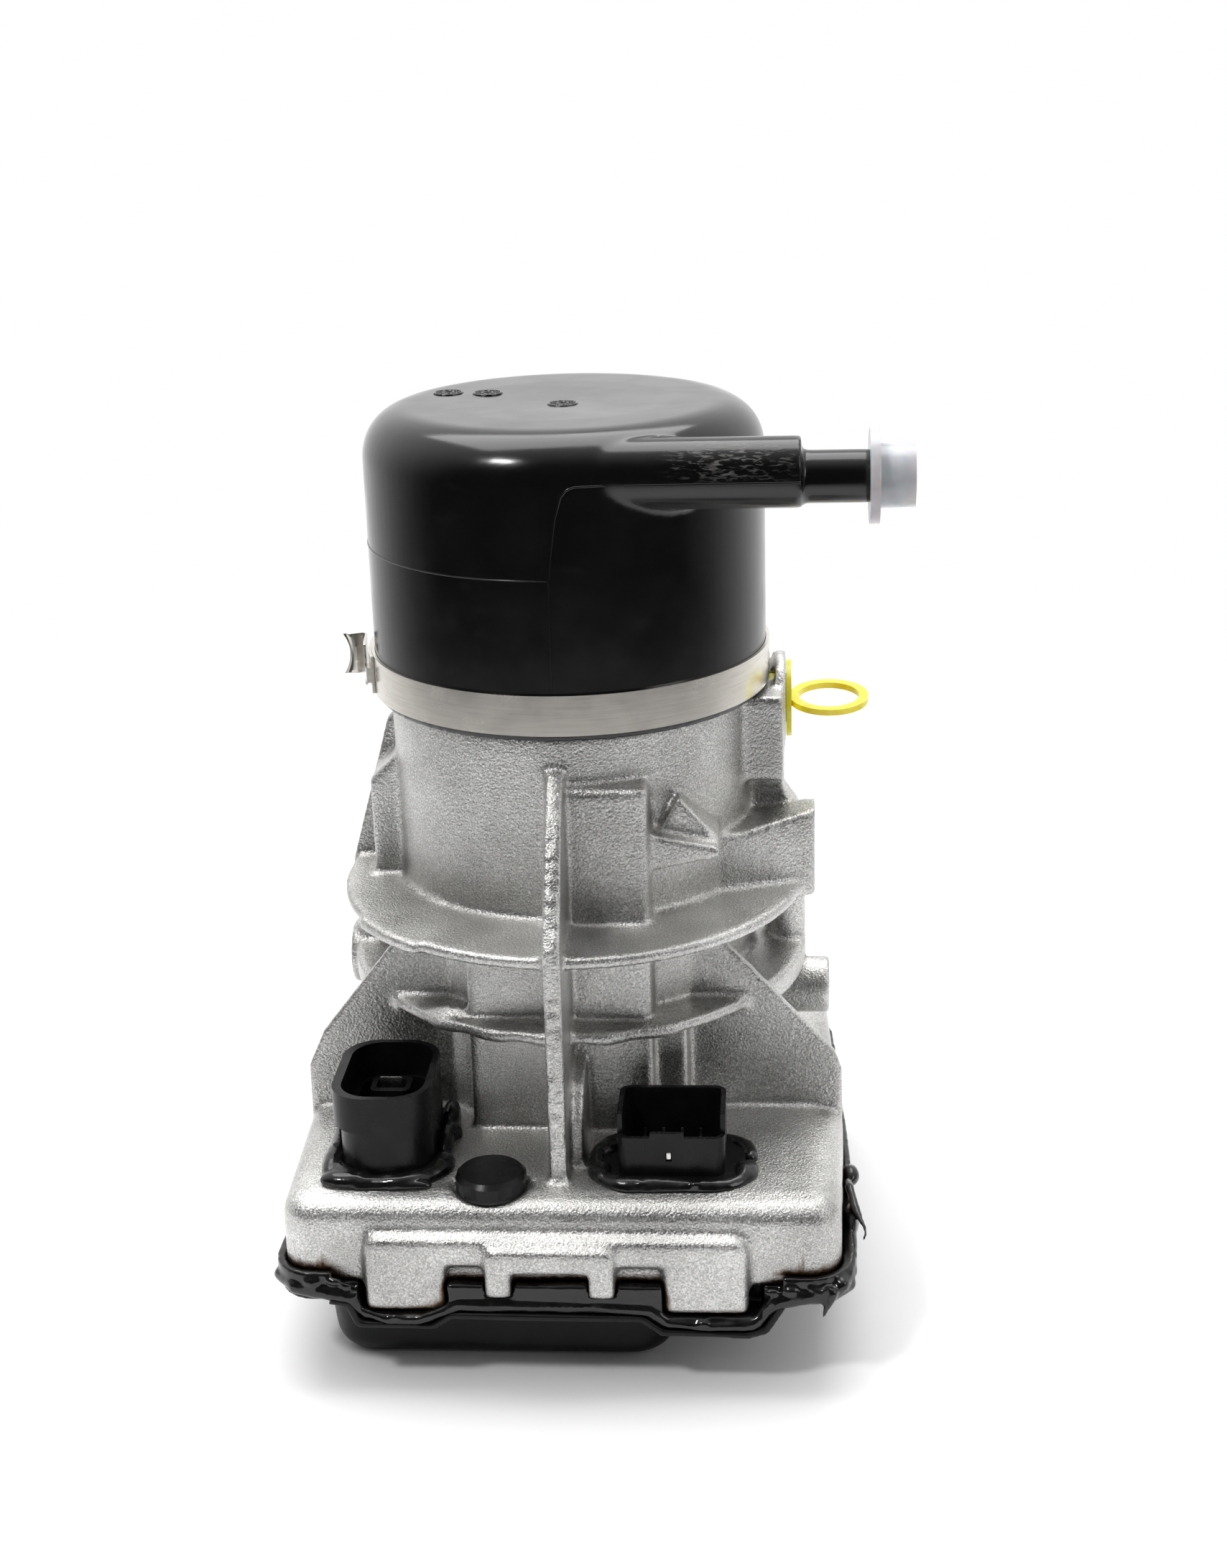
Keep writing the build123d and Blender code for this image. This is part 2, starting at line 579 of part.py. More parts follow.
with BuildPart() as dish_outside:
    dish(0)
    fillet(dish_outside.faces().sort_by(Axis.Z)[0].edges(), DISH_EDGE_R)

with BuildPart() as dish_inside:
    dish(DISH_WALL)
    fillet(dish_inside.faces().sort_by(Axis.Z)[0].edges(), DISH_EDGE_R - DISH_WALL)

with BuildPart() as bottom_cover:
    case_slab(COVER_Z, COVER_Z + COVER_T, grow=1.5)
    # front lip that dips under the ledge
    block(-60, 58, LIP_FRONT - 2, LIP_BACK, 0, 40, Mode.SUBTRACT)
    with BuildSketch(Plane.XZ.offset(-LIP_BACK)):
        with BuildLine():
            FilletPolyline(*LIP_LINE, radius=1.2)
        trace(line_width=COVER_T)
    extrude(amount=LIP_BACK - LIP_FRONT)
    # riser that closes the back of the dipped lip
    wall(LIP_LINE + [(59, COVER_Z + COVER_T), (-61.5, COVER_Z + COVER_T)], LIP_BACK - 1.5, LIP_BACK + 0.1)
    add(dish_outside.part)
    add(dish_inside.part, mode=Mode.SUBTRACT)

with BuildPart() as cover_sealant:
    # bead outside the joint
    case_slab(COVER_Z + COVER_T + 0.05, CASE_Z + 3.5, grow=2.3)
    case_slab(COVER_Z, CASE_Z + 5, grow=0.15, mode=Mode.SUBTRACT)
    # layer in the joint
    case_slab(COVER_Z + COVER_T + 0.05, CASE_Z - 0.05, grow=0.3)
    case_slab(COVER_Z, CASE_Z + 5, grow=-CASE_WALL, mode=Mode.SUBTRACT)
    block(-61, 59, LIP_FRONT - 2, LIP_BACK - 2, 0, 50, Mode.SUBTRACT)
    # filling over the dipped lip
    wall(SEALANT_LINE + [(59, 29.9), (-61, 29.9)], CASE_FRONT + 0.3, LIP_BACK - 1.6)
    wall(SEALANT_LINE[1:-1] + [(52.4, 31), (-53, 31)], CASE_FRONT - 3.3, CASE_FRONT + 1)
    # room for the case wall, the ledge's legs and the hook pad's feet
    block(-54, 54, CASE_FRONT - 0.05, CASE_FRONT + 5.1, CASE_Z - 0.05, 60, Mode.SUBTRACT)
    block(-54, -29.8, CASE_FRONT - 9, CASE_FRONT + 5.1, 22.4, 60, Mode.SUBTRACT)
    block(27.3, 54, CASE_FRONT - 9, CASE_FRONT + 5.1, 22.4, 60, Mode.SUBTRACT)
    block(-30, 28, CASE_FRONT - 9, CASE_FRONT + 5.1, 31, 60, Mode.SUBTRACT)
    block(-19.8, -12.2, CASE_FRONT - 9, CASE_FRONT + 1.1, 28.1, 60, Mode.SUBTRACT)
    block(7.7, 15.3, CASE_FRONT - 9, CASE_FRONT + 1.1, 28.1, 60, Mode.SUBTRACT)

# ---------------------------------------------------------------- controller
CAN_R = 9.0
CAN_POSTS = [(-44, -64), (-18, -64), (8, -64)]
CHIP_SITES = [(-22, 40, 14, 14), (20, 40, 10, 10), (-44, 50, 7, 5), (44, 50, 8, 6), (-4, -40, 9, 7)]
TRANSISTOR_SITES = [(side * 61, y) for side in (-1, 1) for y in (-20, 6, 32)]
PHASE_ANGLES = (60, 180, 300)
PHASE_R = 36.0
CHOKE_AT = (-44, -24)


with BuildPart() as circuit_board:
    case_slab(BOARD_Z, BOARD_TOP_Z, grow=-CASE_WALL - 0.7)
    for x, y in BOARD_POSTS:
        post(x, y, BOARD_Z - 1, 1.7, 4, Mode.SUBTRACT)
    for x, y in POWER_BLADES:
        block(x - 3.2, x + 3.2, y - 0.6, y + 0.6, BOARD_Z - 1, BOARD_TOP_Z + 1, Mode.SUBTRACT)

with BuildPart() as board_screws:
    for x, y in BOARD_POSTS:
        post(x, y, BOARD_Z - 2.05, 2.8, 2)
        post(x, y, BOARD_Z - 0.1, 1.2, 9.5)

with BuildPart() as capacitors:
    for x, y in CAN_POSTS:
        post(x, y, 9, CAN_R, BOARD_Z - 9.05)
    fillet(capacitors.faces().sort_by(Axis.Z)[:3].edges(), 1.5)

with BuildPart() as choke_coil:
    with Locations((*CHOKE_AT, 26)):
        Torus(10, 5)
    post(*CHOKE_AT, 31, 3, BOARD_Z - 31.05)
    with Locations((*CHOKE_AT, 31.5)):
        Box(24, 5, 2)

with BuildPart() as power_transistors:
    for x, y in TRANSISTOR_SITES:
        block(x - 5, x + 5, y - 7, y + 7, BOARD_TOP_Z + 0.05, BOARD_TOP_Z + 3.4)

with BuildPart() as thermal_pads:
    for x, y in TRANSISTOR_SITES:
        block(x - 6, x + 6, y - 8, y + 8, BOARD_TOP_Z + 3.5, 41.1)

with BuildPart() as control_chips:
    for x, y, width, depth in CHIP_SITES:
        block(x - width / 2, x + width / 2, y - depth / 2, y + depth / 2, BOARD_TOP_Z + 0.05, BOARD_TOP_Z + 2)
    block(-2.5, 2.5, -2.5, 2.5, BOARD_TOP_Z + 0.05, BOARD_TOP_Z + 1.5)

# ---------------------------------------------------------------- motor, fixed parts
COIL_HALF = 5.6
COIL_INNER = 27.6
COIL_OUTER = 39.6
TOOTH_HALF = 3.0
COIL_OVERHANG = 6.0

with BuildPart() as stator_core:
    post(0, 0, ROTOR_Z, STATOR_R, STACK)
    post(0, 0, ROTOR_Z - 1, 40.2, STACK + 2, Mode.SUBTRACT)
    for i in range(SLOTS):
        with BuildSketch(Plane.XY.rotated((0, 0, 360 * i / SLOTS)).offset(ROTOR_Z)) as tooth:
            with Locations((33, 0)):
                Rectangle(15.6, 2 * TOOTH_HALF)
            with Locations((26.2, 0)):
                Rectangle(2.4, 11.4)
        extrude(tooth.sketch, amount=STACK)
    post(0, 0, ROTOR_Z - 1, STATOR_BORE_R, STACK + 2, Mode.SUBTRACT)


def around_teeth(inner_half, outer_half, inner_end, outer_end, r0, r1):
    """Closed rectangular loop round each stator tooth."""
    for i in range(SLOTS):
        slot_plane = Plane.XY.rotated((0, 0, 360 * i / SLOTS))
        with BuildSketch(slot_plane.offset(ROTOR_Z - outer_end)) as outside:
            with Locations(((r0 + r1) / 2, 0)):
                Rectangle(r1 - r0, 2 * outer_half)
        extrude(outside.sketch, amount=STACK + 2 * outer_end)
        with BuildSketch(slot_plane.offset(ROTOR_Z - inner_end)) as inside:
            with Locations(((r0 + r1) / 2, 0)):
                Rectangle(r1 - r0 + 1, 2 * inner_half)
        extrude(inside.sketch, amount=STACK + 2 * inner_end, mode=Mode.SUBTRACT)


with BuildPart() as stator_insulator:
    around_teeth(TOOTH_HALF + 0.05, TOOTH_HALF + 0.55, 0.1, 0.7, COIL_INNER, COIL_OUTER)

with BuildPart() as stator_windings:
    around_teeth(TOOTH_HALF + 0.65, COIL_HALF, 0.8, COIL_OVERHANG, COIL_INNER, COIL_OUTER)

with BuildPart() as end_plate:
    post(0, 0, 46, 51, CEILING_Z - 46.05)
    post(0, 0, 46, MOTOR_BORE_R - 0.1, 7)
    post(0, 0, 46, 17, 22)
    post(0, 0, LOWER_BEARING_Z, 13.01, 20, Mode.SUBTRACT)
    post(0, 0, 40, 7.5, 40, Mode.SUBTRACT)
    for x, y in END_SCREWS:
        post(x, y, 40, 2.2, 12, Mode.SUBTRACT)
    for angle in PHASE_ANGLES:
        with BuildSketch(Plane.XY.rotated((0, 0, angle)).offset(45)) as bar_slot:
            with Locations((PHASE_R, 0)):
                Rectangle(4, 9)
        extrude(bar_slot.sketch, amount=10, mode=Mode.SUBTRACT)

with BuildPart() as end_plate_screws:
    for x, y in END_SCREWS:
        post(x, y, 43.4, 3.4, 2.55)
        post(x, y, 45.9, 1.6, 14)

with BuildPart() as phase_bars:
    for angle in PHASE_ANGLES:
        with BuildSketch(Plane.XY.rotated((0, 0, angle)).offset(BOARD_TOP_Z + 0.1)) as bar:
            with Locations((PHASE_R, 0)):
                Rectangle(1.5, 6)
        extrude(bar.sketch, amount=ROTOR_Z - COIL_OVERHANG - 0.2 - BOARD_TOP_Z - 0.1)

with BuildPart() as shaft_seal:
    with BuildSketch(Plane.XZ):
        with BuildLine():
            Polyline(
                (10.95, 130), (10.95, 137), (9.6, 137), (9.6, 131.4), (7.4, 131.4), (SHAFT_R + 0.06, 134.6),
                (SHAFT_R + 0.06, 133.6), (7.0, 130), close=True,
            )
        make_face()
    revolve(axis=Axis.Z)

# ---------------------------------------------------------------- motor, turning parts
with BuildPart() as rotor_shaft:
    post(0, 0, 44.5, SHAFT_LOW_R, 20)
    post(0, 0, LOWER_BEARING_Z + 8.1, 8, UPPER_BEARING_Z - LOWER_BEARING_Z - 8.2)
    post(0, 0, UPPER_BEARING_Z - 1, SHAFT_R, 142 - UPPER_BEARING_Z + 1)
    post(0, 0, 50, SHAFT_LOW_R, 20)
    chamfer(rotor_shaft.faces().sort_by(Axis.Z)[-1].edges(), 0.6)

with BuildPart() as rotor_core:
    post(0, 0, ROTOR_Z, ROTOR_R, STACK)
    post(0, 0, ROTOR_Z - 1, 8.02, STACK + 2, Mode.SUBTRACT)
    with Locations((0, 0, ROTOR_Z - 1)):
        with PolarLocations(14.5, 5):
            Cylinder(3.2, STACK + 2, align=UP, mode=Mode.SUBTRACT)

with BuildPart() as rotor_magnets:
    post(0, 0, ROTOR_Z, MAGNET_R, STACK)
    post(0, 0, ROTOR_Z - 1, ROTOR_R + 0.02, STACK + 2, Mode.SUBTRACT)
    for i in range(POLES):
        with BuildSketch(Plane.XY.rotated((0, 0, 360 * (i + 0.5) / POLES)).offset(ROTOR_Z - 1)) as gap:
            with Locations((MAGNET_R, 0)):
                Rectangle(10, 1.2)
        extrude(gap.sketch, amount=STACK + 2, mode=Mode.SUBTRACT)

with BuildPart() as sensor_magnet:
    post(0, 0, 40.5, 6.5, 4)
    post(0, 0, 40.5, 2, 5, Mode.SUBTRACT)

# ---------------------------------------------------------------- ball bearings
BALL_COUNT = 8


def bearing_race(z, r0, r1, width, pitch_r, ball_r):
    """Bearing ring with a ball groove."""
    post(0, 0, z, r1, width)
    post(0, 0, z - 1, r0, width + 2, Mode.SUBTRACT)
    with Locations((0, 0, z + width / 2)):
        Torus(pitch_r, ball_r + 0.25, mode=Mode.SUBTRACT)


def bearing_balls(z, width, pitch_r, ball_r):
    """Balls on the pitch circle."""
    with Locations((0, 0, z + width / 2)):
        with PolarLocations(pitch_r, BALL_COUNT):
            Sphere(ball_r)


def bearing_cage(z, width, pitch_r, ball_r):
    """Ring with pockets that keeps the balls apart."""
    post(0, 0, z + width / 2 - ball_r - 0.8, pitch_r + 0.7, 2 * ball_r + 1.6)
    post(0, 0, z, pitch_r - 0.7, width, Mode.SUBTRACT)
    with Locations((0, 0, z + width / 2)):
        with PolarLocations(pitch_r, BALL_COUNT):
            Cylinder(ball_r + 0.06, 4, rotation=(0, 90, 0), mode=Mode.SUBTRACT)


UPPER_PITCH_R = 11.0
UPPER_BALL_R = 2.9
LOWER_PITCH_R = 9.0
LOWER_BALL_R = 2.3

with BuildPart() as upper_bearing_inner:
    bearing_race(UPPER_BEARING_Z, SHAFT_R + 0.01, 8.9, 10, UPPER_PITCH_R, UPPER_BALL_R)

with BuildPart() as upper_bearing_outer:
    bearing_race(UPPER_BEARING_Z, 13.1, 16.0, 10, UPPER_PITCH_R, UPPER_BALL_R)

with BuildPart() as upper_bearing_balls:
    bearing_balls(UPPER_BEARING_Z, 10, UPPER_PITCH_R, UPPER_BALL_R)

with BuildPart() as upper_bearing_cage:
    bearing_cage(UPPER_BEARING_Z, 10, UPPER_PITCH_R, UPPER_BALL_R)

with BuildPart() as lower_bearing_inner:
    bearing_race(LOWER_BEARING_Z, SHAFT_LOW_R + 0.01, 7.3, 8, LOWER_PITCH_R, LOWER_BALL_R)

with BuildPart() as lower_bearing_outer:
    bearing_race(LOWER_BEARING_Z, 10.7, 13.0, 8, LOWER_PITCH_R, LOWER_BALL_R)

with BuildPart() as lower_bearing_balls:
    bearing_balls(LOWER_BEARING_Z, 8, LOWER_PITCH_R, LOWER_BALL_R)

with BuildPart() as lower_bearing_cage:
    bearing_cage(LOWER_BEARING_Z, 8, LOWER_PITCH_R, LOWER_BALL_R)

# ---------------------------------------------------------------- gear pump
GEAR_PITCH_R = GEAR_MODULE * GEAR_TEETH / 2
GEAR_BASE_R = GEAR_PITCH_R * cos(GEAR_PRESSURE)
GEAR_TIP_R = GEAR_PITCH_R + GEAR_ADDENDUM
GEAR_ROOT_R = GEAR_PITCH_R - GEAR_DEDENDUM
FLANK_POINTS = 6


def involute_angle(radius):
    """Angle that an involute has turned through where it reaches a radius."""
    pressure = acos(min(1.0, GEAR_BASE_R / radius))
    return tan(pressure) - pressure


def gear_outline(start_angle):
    """Closed outline of a spur gear; start_angle is the middle of its first tooth."""
    half_tooth = pi / (2 * GEAR_TEETH) - GEAR_BACKLASH / (2 * GEAR_PITCH_R) + involute_angle(GEAR_PITCH_R)
    radii = [GEAR_BASE_R + (GEAR_TIP_R - GEAR_BASE_R) * i / (FLANK_POINTS - 1) for i in range(FLANK_POINTS)]
    points = []
    for tooth_number in range(GEAR_TEETH):
        middle = start_angle + 2 * pi * tooth_number / GEAR_TEETH
        points.append((GEAR_ROOT_R, middle - half_tooth))
        points += [(r, middle - half_tooth + involute_angle(r)) for r in radii]
        points += [(r, middle + half_tooth - involute_angle(r)) for r in reversed(radii)]
        points.append((GEAR_ROOT_R, middle + half_tooth))
    return [(r * cos(a), r * sin(a)) for r, a in points]


def gear_wheel(at, start_angle):
    """Spur gear standing on its lower bush."""
    with BuildSketch(Plane(origin=(*at, GEAR_Z + 0.1))) as wheel:
        with BuildLine():
            Polyline(*gear_outline(start_angle), close=True)
        make_face()
    extrude(wheel.sketch, amount=GEAR_TOP_Z - GEAR_Z - 0.2)


DRIVEN_AT = (0, GEAR_SPACING)
DOWEL_POSTS = [(-30, 20), (30, -4)]

with BuildPart() as drive_gear:
    gear_wheel((0, 0), pi / 2)
    post(0, 0, 142.3, SHAFT_R, PUMP_TOP_Z - 142.6)

with BuildPart() as driven_gear:
    gear_wheel(DRIVEN_AT, 0)
    post(*DRIVEN_AT, BUSH_Z + 0.2, SHAFT_R, PUMP_TOP_Z - BUSH_Z - 0.5)

with BuildPart() as drive_coupling:
    post(0, 0, 138.6, 9, 7.9)
    post(0, 0, 138, SHAFT_R + 0.02, 10, Mode.SUBTRACT)


def pump_pocket(z, radius, height, mode):
    """Figure-of-eight layer over both gear axes."""
    post(0, 0, z, radius, height, mode)
    post(*DRIVEN_AT, z, radius, height, mode)


def bush_block(z, height):
    """Bearing block with a running bore for each gear journal."""
    pump_pocket(z, POCKET_R - 0.05, height, Mode.ADD)
    pump_pocket(z - 1, SHAFT_R + JOURNAL_CLEARANCE, height + 2, Mode.SUBTRACT)


with BuildPart() as pump_body:
    post(0, PUMP_Y, SUMP_Z + 0.05, PUMP_R, PUMP_TOP_Z - SUMP_Z - 0.05)
    post(0, 0, SUMP_Z - 1, 9.6, 20, Mode.SUBTRACT)
    pump_pocket(BUSH_Z, POCKET_R, 40, Mode.SUBTRACT)
    for x, y in PUMP_BOLTS:
        post(x, y, SUMP_Z - 1, 3.2, 60, Mode.SUBTRACT)
    # pressure passage to the transfer tube and up to the relief valve
    side_post(8, 40, PORT_Y, PORT_Z, 3, Mode.SUBTRACT)
    side_post(31, 40, PORT_Y, PORT_Z, 5.05, Mode.SUBTRACT)
    post(*RELIEF_AT, PORT_Z, 1.5, 20, Mode.SUBTRACT)
    # suction passage on the other side
    side_post(-40, -8, PUMP_Y, PORT_Z - 2, 5, Mode.SUBTRACT)
    for x, y in DOWEL_POSTS:
        post(x, y, PUMP_TOP_Z - 6, 2, 7, Mode.SUBTRACT)

with BuildPart() as lower_bush_block:
    bush_block(BUSH_Z + 0.05, GEAR_Z - BUSH_Z - 0.05)

with BuildPart() as upper_bush_block:
    bush_block(GEAR_TOP_Z, PUMP_TOP_Z - GEAR_TOP_Z - 0.05)

with BuildPart() as pump_cover:
    post(0, PUMP_Y, PUMP_TOP_Z, PUMP_R, PUMP_COVER_TOP_Z - PUMP_TOP_Z)
    post(*RELIEF_AT, PUMP_TOP_Z, 7, RELIEF_TOP_Z - PUMP_TOP_Z)
    post(*RELIEF_AT, PUMP_TOP_Z - 1, 1.5, 10, Mode.SUBTRACT)
    post(*RELIEF_AT, PUMP_TOP_Z + 4, RELIEF_BORE_R, 40, Mode.SUBTRACT)
    side_post(20, 30, PORT_Y, PUMP_TOP_Z + 12, 1.5, Mode.SUBTRACT)
    for x, y in PUMP_BOLTS:
        post(x, y, PUMP_TOP_Z - 1, 3.2, 60, Mode.SUBTRACT)
    for x, y in DOWEL_POSTS:
        post(x, y, PUMP_TOP_Z - 1, 2, 6, Mode.SUBTRACT)

with BuildPart() as pump_bolts:
    for x, y in PUMP_BOLTS:
        post(x, y, SUMP_Z - 9, 2.45, 20)
        post(x, y, SUMP_Z + 2, 2.9, PUMP_COVER_TOP_Z - SUMP_Z - 1)
        post(x, y, PUMP_COVER_TOP_Z + 0.05, 5, 6)
        with BuildSketch(Plane.XY.offset(PUMP_COVER_TOP_Z + 3)) as socket:
            with Locations((x, y)):
                RegularPolygon(2.9, 6)
        extrude(socket.sketch, amount=4, mode=Mode.SUBTRACT)

with BuildPart() as dowel_pins:
    for x, y in DOWEL_POSTS:
        post(x, y, PUMP_TOP_Z - 5.5, 1.95, 10)

with BuildPart() as relief_poppet:
    post(*RELIEF_AT, PUMP_TOP_Z + 5.8, RELIEF_BORE_R - 0.05, 3.5)
    with Locations((*RELIEF_AT, PUMP_TOP_Z + 4.1)):
        Cone(1.9, RELIEF_BORE_R - 0.05, 1.75, align=UP)

SPRING_Z = PUMP_TOP_Z + 9.4

with BuildPart() as relief_spring:
    with BuildLine():
        coil = Helix(1.6, 6.4, 2.8, center=(*RELIEF_AT, SPRING_Z + 0.4))
    with BuildSketch(Plane(origin=coil @ 0, z_dir=coil % 0)):
        Circle(0.4)
    sweep()

with BuildPart() as relief_plug:
    post(*RELIEF_AT, SPRING_Z + 7.4, RELIEF_BORE_R - 0.03, RELIEF_TOP_Z - SPRING_Z - 7)
    with BuildSketch(Plane.XY.offset(RELIEF_TOP_Z + 0.1)):
        with Locations(RELIEF_AT):
            RegularPolygon(5.5, 6)
    extrude(amount=3.5)

with BuildPart() as transfer_tube:
    side_post(31.3, 49.2, PORT_Y, PORT_Z, 5.0)
    side_post(31, 50, PORT_Y, PORT_Z, 3, Mode.SUBTRACT)

with BuildPart() as suction_strainer:
    side_post(-42.8, -28.2, PUMP_Y, PORT_Z - 2, 4.9)
    side_post(-42.0, -20, PUMP_Y, PORT_Z - 2, 4.2, Mode.SUBTRACT)

# ---------------------------------------------------------------- export
pieces = {
    "body_casting": body_casting,
    "reservoir": reservoir,
    "reservoir_seal": reservoir_seal,
    "fluid_strainer": fluid_strainer,
    "clamp_band": clamp_band,
    "clamp_hook": clamp_hook,
    "clamp_ear": clamp_ear,
    "return_cap": return_cap,
    "port_plug": port_plug,
    "power_connector": power_connector,
    "power_terminals": power_terminals,
    "power_sealant": power_sealant,
    "signal_connector": signal_connector,
    "signal_terminals": signal_terminals,
    "signal_sealant": signal_sealant,
    "vent_plug": vent_plug,
    "vent_seal": vent_seal,
    "vent_membrane": vent_membrane,
    "bottom_cover": bottom_cover,
    "cover_sealant": cover_sealant,
    "circuit_board": circuit_board,
    "board_screws": board_screws,
    "capacitors": capacitors,
    "choke_coil": choke_coil,
    "power_transistors": power_transistors,
    "thermal_pads": thermal_pads,
    "control_chips": control_chips,
    "stator_core": stator_core,
    "stator_insulator": stator_insulator,
    "stator_windings": stator_windings,
    "end_plate": end_plate,
    "end_plate_screws": end_plate_screws,
    "phase_bars": phase_bars,
    "shaft_seal": shaft_seal,
    "rotor_shaft": rotor_shaft,
    "rotor_core": rotor_core,
    "rotor_magnets": rotor_magnets,
    "sensor_magnet": sensor_magnet,
    "upper_bearing_inner": upper_bearing_inner,
    "upper_bearing_outer": upper_bearing_outer,
    "upper_bearing_balls": upper_bearing_balls,
    "upper_bearing_cage": upper_bearing_cage,
    "lower_bearing_inner": lower_bearing_inner,
    "lower_bearing_outer": lower_bearing_outer,
    "lower_bearing_balls": lower_bearing_balls,
    "lower_bearing_cage": lower_bearing_cage,
    "drive_gear": drive_gear,
    "driven_gear": driven_gear,
    "drive_coupling": drive_coupling,
    "pump_body": pump_body,
    "lower_bush_block": lower_bush_block,
    "upper_bush_block": upper_bush_block,
    "pump_cover": pump_cover,
    "pump_bolts": pump_bolts,
    "dowel_pins": dowel_pins,
    "relief_poppet": relief_poppet,
    "relief_spring": relief_spring,
    "relief_plug": relief_plug,
    "transfer_tube": transfer_tube,
    "suction_strainer": suction_strainer,
}
for name, piece in pieces.items():
    piece.part.label = name
    export_step(piece.part, f"parts/{name}.step")
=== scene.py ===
"""Looks of an electro-hydraulic pump unit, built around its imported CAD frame. Metres, +Z up."""

import json
import math

import bmesh
import bpy
from mathutils import Euler, Matrix, Vector, kdtree, noise


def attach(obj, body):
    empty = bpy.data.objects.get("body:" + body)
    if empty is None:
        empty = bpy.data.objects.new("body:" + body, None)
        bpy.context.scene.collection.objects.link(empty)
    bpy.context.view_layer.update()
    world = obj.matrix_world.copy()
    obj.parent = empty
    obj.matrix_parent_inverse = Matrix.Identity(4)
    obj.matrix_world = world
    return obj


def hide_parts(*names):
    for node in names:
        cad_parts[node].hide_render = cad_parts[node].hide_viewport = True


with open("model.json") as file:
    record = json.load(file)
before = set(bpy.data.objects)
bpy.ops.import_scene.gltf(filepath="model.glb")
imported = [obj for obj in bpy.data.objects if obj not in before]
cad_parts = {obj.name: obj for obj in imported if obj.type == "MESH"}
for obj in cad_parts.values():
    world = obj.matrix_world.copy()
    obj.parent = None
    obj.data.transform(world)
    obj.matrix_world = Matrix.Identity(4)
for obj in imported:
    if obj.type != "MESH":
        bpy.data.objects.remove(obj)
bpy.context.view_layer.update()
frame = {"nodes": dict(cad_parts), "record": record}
nodes = frame["nodes"]
MM = 0.001
HOUSING = "housing"
MIX_FIRST, MIX_SECOND, MIX_RESULT = 6, 7, 2  # a Mix node's colour sockets


